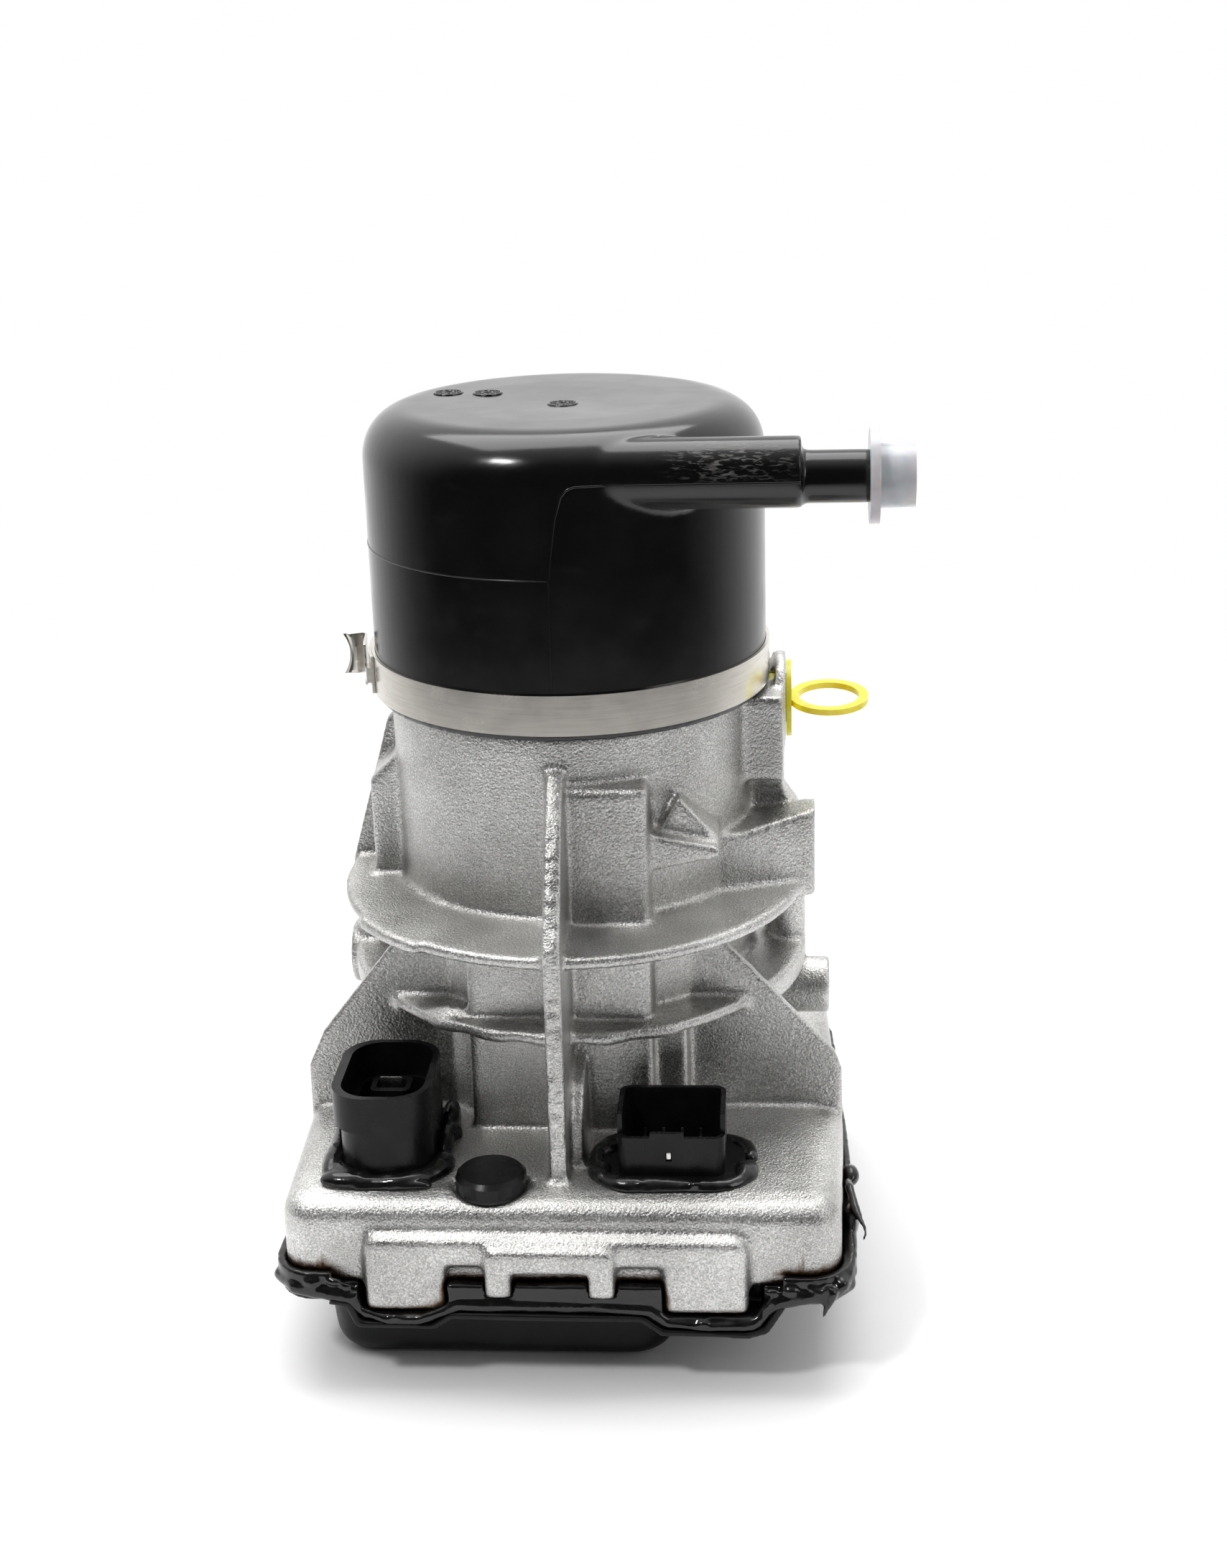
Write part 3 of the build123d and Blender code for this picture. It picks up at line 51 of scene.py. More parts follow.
# ---------------------------------------------------------------- node materials
class Shader:
    """A node material under construction; its coordinates are the piece's own, in millimetres."""

    def __init__(self, name, colour, roughness, metallic=0.0, **sockets):
        self.material = bpy.data.materials.new(name)
        self.material.use_nodes = True
        self.tree = self.material.node_tree
        self.surface = next(n for n in self.tree.nodes if n.type == "BSDF_PRINCIPLED")
        self.surface.inputs["Base Color"].default_value = (*colour, 1)
        self.surface.inputs["Roughness"].default_value = roughness
        self.surface.inputs["Metallic"].default_value = metallic
        for socket, value in sockets.items():
            self.surface.inputs[socket.replace("_", " ")].default_value = value
        where = self.node("ShaderNodeTexCoord")
        scale = self.node("ShaderNodeVectorMath", operation="SCALE")
        scale.inputs["Scale"].default_value = 1 / MM
        self.link(where.outputs["Object"], scale.inputs[0])
        self.place = scale.outputs[0]
        self.height = None

    def node(self, kind, **settings):
        made = self.tree.nodes.new(kind)
        for name, value in settings.items():
            setattr(made, name, value)
        return made

    def link(self, source, target):
        self.tree.links.new(source, target)

    def noise(self, size_mm, detail=3, stretch=(1, 1, 1), distortion=0.0):
        """Noise from 0 to 1 in blotches about size_mm across, drawn out along an axis by stretch."""
        place = self.node("ShaderNodeVectorMath", operation="MULTIPLY")
        place.inputs[1].default_value = [1 / s for s in stretch]
        self.link(self.place, place.inputs[0])
        made = self.node("ShaderNodeTexNoise")
        made.inputs["Scale"].default_value = 1 / size_mm
        made.inputs["Detail"].default_value = detail
        made.inputs["Distortion"].default_value = distortion
        self.link(place.outputs[0], made.inputs["Vector"])
        return made.outputs["Fac"]

    def cells(self, size_mm):
        made = self.node("ShaderNodeTexVoronoi")
        made.inputs["Scale"].default_value = 1 / size_mm
        self.link(self.place, made.inputs["Vector"])
        return made.outputs["Distance"]

    def colour_ramp(self, value, stops):
        made = self.node("ShaderNodeValToRGB")
        ends = made.color_ramp.elements
        while len(ends) < len(stops):
            ends.new(0.5)
        for end, (at, colour) in zip(ends, stops):
            end.position = at
            end.color = (*colour, 1)
        self.link(value, made.inputs["Fac"])
        return made.outputs["Color"]

    def ramp(self, value, *stops):
        """A value turned into another by (input, output) stops."""
        return self.colour_ramp(value, [(at, (out, out, out)) for at, out in stops])

    def math(self, operation, a, b):
        made = self.node("ShaderNodeMath", operation=operation)
        for socket, value in zip(made.inputs, (a, b)):
            if isinstance(value, (int, float)):
                socket.default_value = value
            else:
                self.link(value, socket)
        return made.outputs[0]

    def attribute(self, name):
        made = self.node("ShaderNodeAttribute", attribute_name=name)
        return made.outputs["Fac"]

    def colours(self, value, *stops):
        """The base colour taken from a value by (input, colour) stops."""
        colour = self.colour_ramp(value, stops)
        self.base(colour)
        return colour

    def mix(self, value, first, second):
        """The base colour: first where value is 0 and second where it is 1."""
        made = self.node("ShaderNodeMix", data_type="RGBA")
        self.link(value, made.inputs["Factor"])
        for socket, colour in ((made.inputs[MIX_FIRST], first), (made.inputs[MIX_SECOND], second)):
            if isinstance(colour, tuple):
                socket.default_value = (*colour, 1)
            else:
                self.link(colour, socket)
        self.base(made.outputs[MIX_RESULT])
        return made.outputs[MIX_RESULT]

    def base(self, colour):
        self.link(colour, self.surface.inputs["Base Color"])

    def roughness(self, value, *stops):
        self.link(self.ramp(value, *stops), self.surface.inputs["Roughness"])

    def bump(self, value, height_mm, strength=1.0):
        made = self.node("ShaderNodeBump")
        made.inputs["Strength"].default_value = strength
        made.inputs["Distance"].default_value = height_mm * MM
        self.link(value, made.inputs["Height"])
        if self.height is not None:
            self.link(self.height, made.inputs["Normal"])
        self.height = made.outputs["Normal"]
        self.link(self.height, self.surface.inputs["Normal"])


def cast_aluminium():
    """Shot-blasted casting: fine grain, cloudy tone, grime and painted shade in corners, smoky edge
    by the sealant.
    """
    made = Shader("cast_aluminium", (0.6, 0.6, 0.59), 0.42, 1.0)
    cloud = made.noise(26, 4)
    grain = made.noise(0.42, 2)
    speck = made.cells(0.85)
    tone = made.math("ADD", made.math("MULTIPLY", cloud, 0.35), made.math("MULTIPLY", grain, 0.65))
    metal = made.colours(
        tone, (0.34, (0.29, 0.285, 0.275)), (0.5, (0.51, 0.505, 0.49)), (0.66, (0.86, 0.855, 0.84))
    )
    # Painted shade: hollows found from the mesh's curvature are darkened towards brown grey and
    # broken up by noise. This is partly grime and partly shade painted into the colour.
    hollow_shade = made.attribute("crevice")
    grime_and_shade = made.math("MULTIPLY", hollow_shade, made.ramp(made.noise(3.5, 4), (0.3, 0.35), (0.62, 1.0)))
    grime_shaded_metal = made.mix(grime_and_shade, metal, (0.17, 0.155, 0.135))
    soot = made.attribute("smoke")
    smoke = made.math("MULTIPLY", soot, made.ramp(made.noise(2.2, 3), (0.3, 0.75), (0.6, 1.0)))
    brown = made.mix(made.ramp(smoke, (0.15, 0.0), (0.6, 1.0)), grime_shaded_metal, (0.10, 0.055, 0.03))
    made.mix(made.ramp(smoke, (0.5, 0.0), (0.85, 1.0)), brown, (0.012, 0.011, 0.011))
    rough = made.math("ADD", made.math("MULTIPLY", grain, 0.6), made.math("MULTIPLY", cloud, 0.4))
    made.roughness(rough, (0.3, 0.3), (0.7, 0.5))
    made.bump(made.noise(1.6, 3), 0.09)
    made.bump(grain, 0.15)
    made.bump(speck, 0.09)
    return made.material


def machined_aluminium():
    made = Shader("machined_aluminium", (0.72, 0.72, 0.73), 0.28, 1.0)
    made.colours(made.noise(0.5, 2, (1, 1, 20)), (0.3, (0.6, 0.6, 0.61)), (0.7, (0.8, 0.8, 0.81)))
    made.bump(made.noise(0.25, 2, (12, 12, 1)), 0.02)
    return made.material


def gloss_moulding():
    """Black nylon, glossy with faint ripple, scuffs of dust and grey scrapes where it was knocked."""
    made = Shader("moulded_black", (0.0035, 0.0035, 0.004), 0.16, 0.0)
    scuffs = made.ramp(made.noise(9, 5, (1, 1, 0.4)), (0.60, 0.0), (0.78, 1.0))
    dark = made.mix(scuffs, (0.0032, 0.0032, 0.0035), (0.008, 0.008, 0.008))
    scratches = made.ramp(made.noise(0.8, 8, (4, 1, 1), 0.8), (0.50, 0.0), (0.68, 1.0))
    scrape = made.math("MULTIPLY", made.attribute("scrape"), scratches)
    made.mix(scrape, dark, (0.11, 0.105, 0.10))
    gloss = made.ramp(made.noise(14, 4), (0.3, 0.12), (0.7, 0.22))
    rougher = made.math("ADD", gloss, made.math("MULTIPLY", scrape, 0.4))
    made.link(rougher, made.surface.inputs["Roughness"])
    made.bump(made.noise(13, 2), 0.05)
    made.bump(made.noise(0.35, 2), 0.003)
    made.bump(scrape, 0.02)
    return made.material


def satin_moulding():
    made = Shader("connector_black", (0.012, 0.012, 0.013), 0.3, Specular_IOR_Level=0.2)
    made.colours(made.noise(6, 4), (0.35, (0.004, 0.004, 0.0045)), (0.7, (0.008, 0.008, 0.0085)))
    made.roughness(made.noise(5, 3), (0.3, 0.24), (0.7, 0.36))
    made.bump(made.noise(0.35, 2), 0.012)
    return made.material


def stainless():
    """Bright strip with fine marks along its length and faint yellowish tint."""
    made = Shader("stainless", (0.66, 0.62, 0.56), 0.2, 1.0)
    streak = made.noise(0.5, 3, (26, 26, 1))
    made.colours(streak, (0.3, (0.64, 0.61, 0.56)), (0.7, (0.74, 0.71, 0.65)))
    made.roughness(made.noise(9, 4), (0.3, 0.2), (0.7, 0.29))
    made.bump(streak, 0.0015)
    made.bump(made.noise(22, 2), 0.05)
    return made.material


def milky_plastic():
    made = Shader("milky_plastic", (0.62, 0.64, 0.68), 0.26, 0.0, Subsurface_Weight=0.5,
                  Subsurface_Scale=0.003, Transmission_Weight=0.2, IOR=1.5)
    made.colours(made.noise(5, 3), (0.3, (0.55, 0.57, 0.61)), (0.7, (0.68, 0.70, 0.73)))
    made.bump(made.noise(0.8, 2), 0.01)
    return made.material


def yellow_plastic():
    made = Shader("yellow_plastic", (0.86, 0.80, 0.05), 0.3, 0.0, Subsurface_Weight=0.4,
                  Subsurface_Scale=0.003)
    made.colours(made.noise(4, 3), (0.3, (0.80, 0.73, 0.03)), (0.7, (0.90, 0.85, 0.09)))
    made.roughness(made.noise(3, 3), (0.3, 0.24), (0.7, 0.4))
    made.bump(made.noise(0.7, 2), 0.012)
    return made.material


def black_silicone():
    made = Shader("black_silicone", (0.006, 0.006, 0.006), 0.1, 0.0)
    made.colours(made.noise(3, 4), (0.35, (0.004, 0.004, 0.004)), (0.75, (0.011, 0.010, 0.010)))
    made.roughness(made.noise(4, 4), (0.35, 0.07), (0.7, 0.32))
    made.bump(made.noise(2.4, 3), 0.07)
    return made.material


def black_coating():
    made = Shader("black_steel", (0.010, 0.010, 0.011), 0.3, 0.0, Specular_IOR_Level=0.25)
    made.colours(made.noise(12, 4), (0.35, (0.003, 0.003, 0.0035)), (0.7, (0.006, 0.006, 0.007)))
    made.roughness(made.noise(8, 4), (0.3, 0.3), (0.7, 0.48))
    made.bump(made.noise(0.6, 3), 0.02)
    return made.material


def plain_metal(name, low, high, roughness):
    made = Shader(name, high, roughness, 1.0)
    made.colours(made.noise(2.5, 4), (0.3, low), (0.7, high))
    made.roughness(made.noise(3, 3), (0.3, roughness * 0.8), (0.7, roughness * 1.3))
    made.bump(made.noise(0.5, 2), 0.01)
    return made.material


def plain_plastic(name, low, high, roughness):
    made = Shader(name, high, roughness, 0.0)
    made.colours(made.noise(3, 4), (0.3, low), (0.7, high))
    made.roughness(made.noise(3, 3), (0.3, roughness * 0.8), (0.7, min(1.0, roughness * 1.2)))
    made.bump(made.noise(0.5, 2), 0.015)
    return made.material


def laminated_steel():
    made = Shader("lamination", (0.3, 0.3, 0.32), 0.4, 1.0)
    sheets = made.noise(0.5, 1, (40, 40, 1))
    made.colours(sheets, (0.4, (0.16, 0.16, 0.17)), (0.6, (0.42, 0.42, 0.44)))
    made.bump(sheets, 0.05)
    return made.material


def woven_mesh():
    made = Shader("mesh", (0.5, 0.5, 0.5), 0.4, 1.0)
    threads = made.node("ShaderNodeTexWave", wave_type="BANDS", bands_direction="DIAGONAL")
    threads.inputs["Scale"].default_value = 1.2
    made.link(made.place, threads.inputs["Vector"])
    made.colours(threads.outputs["Fac"], (0.3, (0.2, 0.2, 0.2)), (0.7, (0.6, 0.6, 0.6)))
    made.bump(threads.outputs["Fac"], 0.1)
    return made.material


finishes = {
    "cast_aluminium": cast_aluminium(),
    "moulded_black": gloss_moulding(),
    "connector_black": satin_moulding(),
    "stainless": stainless(),
    "milky_plastic": milky_plastic(),
    "yellow_plastic": yellow_plastic(),
    "black_silicone": black_silicone(),
    "black_steel": black_coating(),
    "seal_rubber": plain_plastic("seal_rubber", (0.008, 0.008, 0.009), (0.02, 0.02, 0.022), 0.6),
    "board": plain_plastic("board", (0.02, 0.12, 0.045), (0.04, 0.2, 0.08), 0.4),
    "can_sleeve": plain_plastic("can_sleeve", (0.02, 0.025, 0.05), (0.04, 0.05, 0.09), 0.3),
    "ferrite": plain_plastic("ferrite", (0.03, 0.03, 0.033), (0.07, 0.07, 0.075), 0.7),
    "chip": plain_plastic("chip", (0.012, 0.012, 0.012), (0.03, 0.03, 0.03), 0.5),
    "thermal_pad": plain_plastic("thermal_pad", (0.35, 0.37, 0.4), (0.48, 0.5, 0.53), 0.8),
    "lamination": laminated_steel(),
    "insulator": plain_plastic("insulator", (0.68, 0.66, 0.6), (0.8, 0.78, 0.72), 0.5),
    "copper": plain_metal("copper", (0.55, 0.22, 0.1), (0.75, 0.36, 0.2), 0.25),
    "tinned": plain_metal("tinned", (0.55, 0.54, 0.5), (0.8, 0.79, 0.75), 0.25),
    "steel": plain_metal("steel", (0.4, 0.41, 0.42), (0.6, 0.61, 0.62), 0.22),
    "zinc_steel": plain_metal("zinc_steel", (0.45, 0.45, 0.43), (0.65, 0.65, 0.63), 0.32),
    "magnet": plain_metal("magnet", (0.35, 0.35, 0.36), (0.5, 0.5, 0.52), 0.3),
    "cage_brass": plain_metal("cage_brass", (0.55, 0.4, 0.15), (0.75, 0.58, 0.28), 0.3),
    "machined_aluminium": machined_aluminium(),
    "membrane": plain_plastic("membrane", (0.75, 0.75, 0.75), (0.88, 0.88, 0.88), 0.9),
    "mesh": woven_mesh(),
}


def set_material(piece, material):
    piece.data.materials.clear()
    piece.data.materials.append(material)


for part in frame["record"]["subparts"]:
    set_material(nodes[part["node"]], finishes[part["material_slot"]])


# ---------------------------------------------------------------- mesh helpers
WELD_MM = 0.002
SMOOTH_FACTOR = 0.5
BALL_STEP = 0.35  # distance between a strand's balls, as a share of their radius


def new_piece(name, mesh, material, body, stands_for=()):
    """Put a mesh in the scene, riding on a body and standing for CAD nodes."""
    piece = bpy.data.objects.new(name, mesh)
    bpy.context.scene.collection.objects.link(piece)
    set_material(piece, material)
    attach(piece, body)
    if stands_for:
        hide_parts(*stands_for)
    return piece


def welded_copy(node):
    """A CAD node's mesh with its split corners joined."""
    made = bmesh.new()
    made.from_mesh(nodes[node].data)
    bmesh.ops.remove_doubles(made, verts=made.verts, dist=WELD_MM * MM)
    return made


def mesh_of(solid, name):
    """A bmesh turned into a mesh; the bmesh is freed."""
    mesh = bpy.data.meshes.new(name)
    solid.to_mesh(mesh)
    solid.free()
    return mesh


def work_object(name, data):
    work = bpy.data.objects.new(name, data)
    bpy.context.scene.collection.objects.link(work)
    return work


def applied(work):
    """The smooth-shaded mesh that a work object evaluates to; the object is removed."""
    depsgraph = bpy.context.evaluated_depsgraph_get()
    made = bpy.data.meshes.new_from_object(work.evaluated_get(depsgraph))
    bpy.data.objects.remove(work)
    made.polygons.foreach_set("use_smooth", [True] * len(made.polygons))
    return made


def soften(solid, voxel_mm, rounds, keep=1.0):
    """Voxel remesh a bmesh, round its edges by smoothing, and thin the triangles to a share."""
    work = work_object("work", mesh_of(solid, "work"))
    remesh = work.modifiers.new("remesh", "REMESH")
    remesh.mode = "VOXEL"
    remesh.voxel_size = voxel_mm * MM
    smooth = work.modifiers.new("smooth", "SMOOTH")
    smooth.factor = SMOOTH_FACTOR
    smooth.iterations = rounds
    if keep < 1:
        thin = work.modifiers.new("thin", "DECIMATE")
        thin.ratio = keep
    return applied(work)


def add_blob(solid, centre, radii, turn=(0, 0, 0)):
    """Add an ellipsoid, in millimetres, to a bmesh."""
    place = Matrix.LocRotScale(Vector(centre) * MM, Euler(turn), Vector(radii) * MM)
    bmesh.ops.create_icosphere(solid, subdivisions=3, radius=1, matrix=place)


def add_strand(solid, points, radii):
    """Add a bead of overlapping balls along points, in millimetres, one radius for each point."""
    for index in range(len(points) - 1):
        start, end = Vector(points[index]), Vector(points[index + 1])
        thinnest = min(radii[index], radii[index + 1])
        steps = max(2, int((end - start).length / (BALL_STEP * thinnest)))
        for step in range(steps + 1):
            share = step / steps
            radius = radii[index] + (radii[index + 1] - radii[index]) * share
            size = Vector((radius, radius, radius)) * MM
            place = Matrix.LocRotScale(start.lerp(end, share) * MM, None, size)
            bmesh.ops.create_icosphere(solid, subdivisions=2, radius=1, matrix=place)


def ripple(mesh, size_mm, height_mm, seed=0.0):
    """Push points in and out along their normals by smooth noise."""
    shifts = [
        noise.noise(v.co / (size_mm * MM) + Vector((seed, 0, 0))) * height_mm * MM
        for v in mesh.vertices
    ]
    moved = [
        v.co + n.vector * shift
        for v, n, shift in zip(mesh.vertices, mesh.vertex_normals, shifts)
    ]
    for vertex, place in zip(mesh.vertices, moved):
        vertex.co = place
    mesh.update()


def store(mesh, name, values):
    """Keep one number per vertex as an attribute that a material reads."""
    layer = mesh.attributes.new(name, "FLOAT", "POINT")
    layer.data.foreach_set("value", values)


# ---------------------------------------------------------------- sealant
def sealant_bead():
    """Squeezed-out bead round the bottom cover: lumps, a flap up the right side and a hooked drip."""
    solid = welded_copy("cover_sealant")
    # folds and drips on the right side
    add_blob(solid, (78.0, -47, 36.5), (2.4, 4.2, 2.6))
    add_strand(solid, [(76.8, -52, 36), (77.0, -58, 40.5), (77.4, -63, 41.5), (78.6, -70, 39.5),
                       (80.2, -75, 38.0)], [1.4, 1.0, 1.3, 1.5, 0.95])
    add_strand(solid, [(80.2, -75, 38.0), (81.0, -76.8, 37.4), (81.2, -78.6, 36.4),
                       (80.7, -80.2, 35.6)], [0.95, 0.75, 0.6, 0.45])
    add_blob(solid, (77.8, -68, 35.0), (1.9, 7.0, 3.6))
    add_strand(solid, [(77.6, -72, 34), (77.5, -84, 33), (76.4, -91, 32), (75.6, -94, 28)],
               [1.5, 1.3, 1.2, 0.9])
    add_strand(solid, [(77.0, -80, 30), (76.6, -88, 30.5), (74.5, -94.4, 30.5)], [1.8, 2.2, 2.2])
    # flow along the front, under the casting and over the lip
    add_strand(solid, [(53.5, -96.6, 22.5), (57, -96.8, 26.5), (64, -96.6, 28.0), (71, -95.5, 28.4),
                       (76, -91, 28.6)], [1.6, 2.2, 2.5, 2.7, 2.5])
    add_strand(solid, [(72, -97.3, 29.5), (70.5, -98.2, 26), (69.6, -98.4, 23.2)], [1.6, 1.0, 0.4])
    add_strand(solid, [(66, -97.2, 31), (69, -97.6, 29.5), (71, -97.8, 31.5)], [0.8, 0.9, 0.6])
    add_strand(solid, [(-53.5, -97.2, 22.5), (-46, -98.4, 20.7), (-38, -98.5, 20.7),
                       (-33.5, -98.2, 22.3)], [1.3, 1.4, 1.3, 1.6])
    add_strand(solid, [(-33.5, -98.2, 22.3), (-27, -97.4, 25.0), (-10, -97.2, 25.0),
                       (10, -97.2, 24.7), (24, -97.4, 24.0)], [1.6, 2.0, 1.9, 1.9, 1.8])
    add_strand(solid, [(24, -97.4, 24.0), (29, -98.3, 20.4), (40, -98.5, 19.6), (51, -98.0, 20.2),
                       (54, -96.8, 22.5)], [1.7, 1.4, 1.4, 1.5, 1.6])
    add_strand(solid, [(-76, -89, 28.4), (-71, -95, 28.6), (-62, -96.6, 28.0), (-56, -97, 26.8),
                       (-53.6, -97.2, 22.6)], [2.3, 2.5, 2.5, 2.1, 1.4])
    for x, y, z, r in [
        (-66, -97.3, 31, 1.2), (-60, -97.6, 31.5, 1.1), (-57, -97.3, 30, 1.0), (-26, -97, 28.2, 1.3),
        (-23, -97.1, 26, 1.0), (3, -97.2, 26.5, 1.0), (20, -97.2, 28, 1.3), (-44, -99.1, 21.8, 0.8),
        (38, -99.1, 20.8, 0.9), (56, -97.3, 29.6, 1.2), (61, -97.6, 30.2, 1.1),
    ]:
        add_blob(solid, (x, y, z), (r * 2.0, r, r))
    mesh = soften(solid, 0.5, 9)
    ripple(mesh, 9, 0.45)
    ripple(mesh, 2.6, 0.08, 5)
    return mesh


HALF_TURN_STEPS = 24
SWELL_SIZE = 9


def skirt(centre, size, corner, z, radius, swell):
    """Points and radii of a bead round a connector's rounded foot, swelling unevenly."""
    half_x, half_y = size[0] / 2 - corner, size[1] / 2 - corner
    points, radii = [], []
    for step in range(2 * HALF_TURN_STEPS + 1):
        angle = step / HALF_TURN_STEPS * math.pi
        across, along = math.cos(angle), math.sin(angle)
        x = centre[0] + math.copysign(half_x, across) + corner * across
        y = centre[1] + math.copysign(half_y, along) + corner * along
        points.append((x, y, z))
        radii.append(radius + swell * noise.noise(Vector((x, y, 0)) / SWELL_SIZE))
    return points, radii


def puddle(foot, lumps, seed):
    """Sealant squeezed out round a connector."""
    solid = bmesh.new()
    add_strand(solid, *skirt(*foot))
    for centre, radii in lumps:
        add_blob(solid, centre, radii)
    mesh = soften(solid, 0.45, 6)
    ripple(mesh, 8, 0.4, seed)
    ripple(mesh, 2.2, 0.08, seed + 3)
    return mesh


SILICONE = finishes["black_silicone"]
bead = new_piece(
    "sealant_bead", sealant_bead(), SILICONE, HOUSING, ["cover_sealant"]
)
POWER_FOOT = ((-47.8, -65), (29.5, 40), 12, 53.7, 3.3, 1.0)
POWER_LUMPS = [
    ((-62.4, -74, 54.6), (3.2, 10, 3.6)), ((-57, -84, 54.4), (8, 3.6, 3.0)),
    ((-42, -85.6, 53.9), (8, 2.4, 2.0)), ((-33.6, -50, 55.6), (2.6, 7, 4.2)),
    ((-33.4, -62, 54.8), (2.4, 9, 3.2)),
]
POWER_SEED = 11
SIGNAL_FOOT = ((29.6, -72), (41, 26), 10, 53.6, 2.5, 0.6)
SIGNAL_LUMPS = [
    ((11, -79, 54.2), (2.6, 5, 2.6)), ((29, -85.2, 53.8), (14, 2.2, 2.2)),
    ((48.5, -78, 54.2), (2.4, 5, 2.6)), ((22, -86.4, 55.3), (2.0, 0.9, 0.8)),
    ((36, -86.5, 55.3), (1.6, 0.8, 0.8)), ((12, -66, 54.6), (3.0, 4, 2.4)),
]
SIGNAL_SEED = 23
for side, foot, lumps, seed in (
    ("power", POWER_FOOT, POWER_LUMPS, POWER_SEED),
    ("signal", SIGNAL_FOOT, SIGNAL_LUMPS, SIGNAL_SEED),
):
    mesh = puddle(foot, lumps, seed)
    new_piece(side + "_puddle", mesh, SILICONE, HOUSING, [side + "_sealant"])


# ---------------------------------------------------------------- signal connector's window
LUG_CENTRE = (28.9, -81.2, 60.9)
LUG_SIZE = (1.1, 0.7, 1.9)
LUG_BEVEL = 0.15


def window_lug():
    """Small bright lug seen through the window in the signal connector's front."""
    solid = bmesh.new()
    place = Matrix.LocRotScale(Vector(LUG_CENTRE) * MM, None, Vector(LUG_SIZE) * MM)
    bmesh.ops.create_cube(solid, size=1, matrix=place)
    bmesh.ops.bevel(solid, geom=solid.edges[:], offset=LUG_BEVEL * MM, segments=2, affect="EDGES")
    return mesh_of(solid, "lug")


new_piece("window_lug", window_lug(), finishes["tinned"], HOUSING)


# ---------------------------------------------------------------- bottom cover
def pressed_cover():
    """The sheet-steel cover with the rounded bends of a pressing."""
    mesh = soften(welded_copy("bottom_cover"), 0.7, 5, keep=0.6)
    ripple(mesh, 30, 0.15, 9)
    for vertex in mesh.vertices:
        vertex.co.z = max(0.0, vertex.co.z)
    return mesh


COATING = finishes["black_steel"]
new_piece("cover_pressing", pressed_cover(), COATING, HOUSING, ["bottom_cover"])


# ---------------------------------------------------------------- reservoir
TANK_R = 55.0
TUBE_Y = -44.0
TUBE_Z = 236.5
TUBE_R = 9.2
SCRAPE_X, SCRAPE_HALF = 47, 19  # middle and half length of the scrape along the tube
SCRAPE_ANGLE, SCRAPE_REACH = 32, 45  # its middle above the front, and its reach, in degrees
SCRAPE_FROM_X = 18
SCRAPE_STRENGTH = 2.2


def tank():
    """Moulded reservoir with a blended tube, and a scrape attribute on the tube's upper front."""
    mesh = soften(welded_copy("reservoir"), 0.75, 8)
    scrape = []
    for vertex in mesh.vertices:
        x, y, z = vertex.co / MM
        along = max(0.0, 1 - abs(x - SCRAPE_X) / SCRAPE_HALF)
        around = math.degrees(math.atan2(z - TUBE_Z, TUBE_Y - y))
        across = max(0.0, 1 - abs(around - SCRAPE_ANGLE) / SCRAPE_REACH)
        near = abs(math.hypot(y - TUBE_Y, z - TUBE_Z) - TUBE_R) < 1
        amount = min(1.0, SCRAPE_STRENGTH * along * across)
        scrape.append(amount if near and x > SCRAPE_FROM_X else 0.0)
    store(mesh, "scrape", scrape)
    return mesh


def tube_mesh(points, radius):
    """Thin round line through points, in millimetres."""
    curve = bpy.data.curves.new("line", "CURVE")
    curve.dimensions = "3D"
    curve.bevel_depth = radius * MM
    curve.bevel_resolution = 2
    spline = curve.splines.new("POLY")
    spline.points.add(len(points) - 1)
    for point, place in zip(spline.points, points):
        point.co = (*(Vector(place) * MM), 1)
    curve.use_fill_caps = True
    return applied(work_object("line", curve))


def on_tank(angle, z):
    """Point on the reservoir's side, its angle in degrees from +X."""
    turn = math.radians(angle)
    return (TANK_R * math.cos(turn), TANK_R * math.sin(turn), z)


def parting_lines():
    """Raised flash left by the mould's halves."""
    side = [on_tank(angle, 211.4) for angle in range(-250, -89, 4)] + [on_tank(-90, 210.7)]
    front = [on_tank(*place) for place in (
        (-90.3, 182), (-90.1, 197), (-90, 210.7), (-89, 219), (-87.7, 227.3),
        (-85.9, 233), (-84.2, 234.9), (-82.2, 235.5), (-77, 235.5), (-72.6, 235.4),
    )]
    tube = [(20, TUBE_Y - TUBE_R, 235.4), (64.4, TUBE_Y - TUBE_R, 235.6)]
    return (("side_flash", side, 0.22), ("front_flash", front, 0.33), ("tube_flash", tube, 0.4))


MOULDING = finishes["moulded_black"]
new_piece("tank", tank(), MOULDING, HOUSING, ["reservoir"])
for name, points, radius in parting_lines():
    new_piece(name, tube_mesh(points, radius), MOULDING, HOUSING)


# ---------------------------------------------------------------- clamp
EAR_PATH = [
    (-56.9, -10.5), (-57.5, -7), (-57.85, -3.5), (-58.1, -0.5), (-58.5, 1.6), (-59.5, 2.4),
    (-60.8, 2.0), (-62.0, 1.4), (-63.2, 1.3), (-64.4, 1.7), (-65.3, 1.4),
]
EAR_LOW, EAR_HIGH = 170.4, 182.2
EAR_STEPS = 12
EAR_TUCK = 2.0
EAR_TUCK_FROM, EAR_TUCK_OVER = 6, 4  # points along the path
EAR_THICKNESS = 0.75
EAR_BEVEL = 0.15


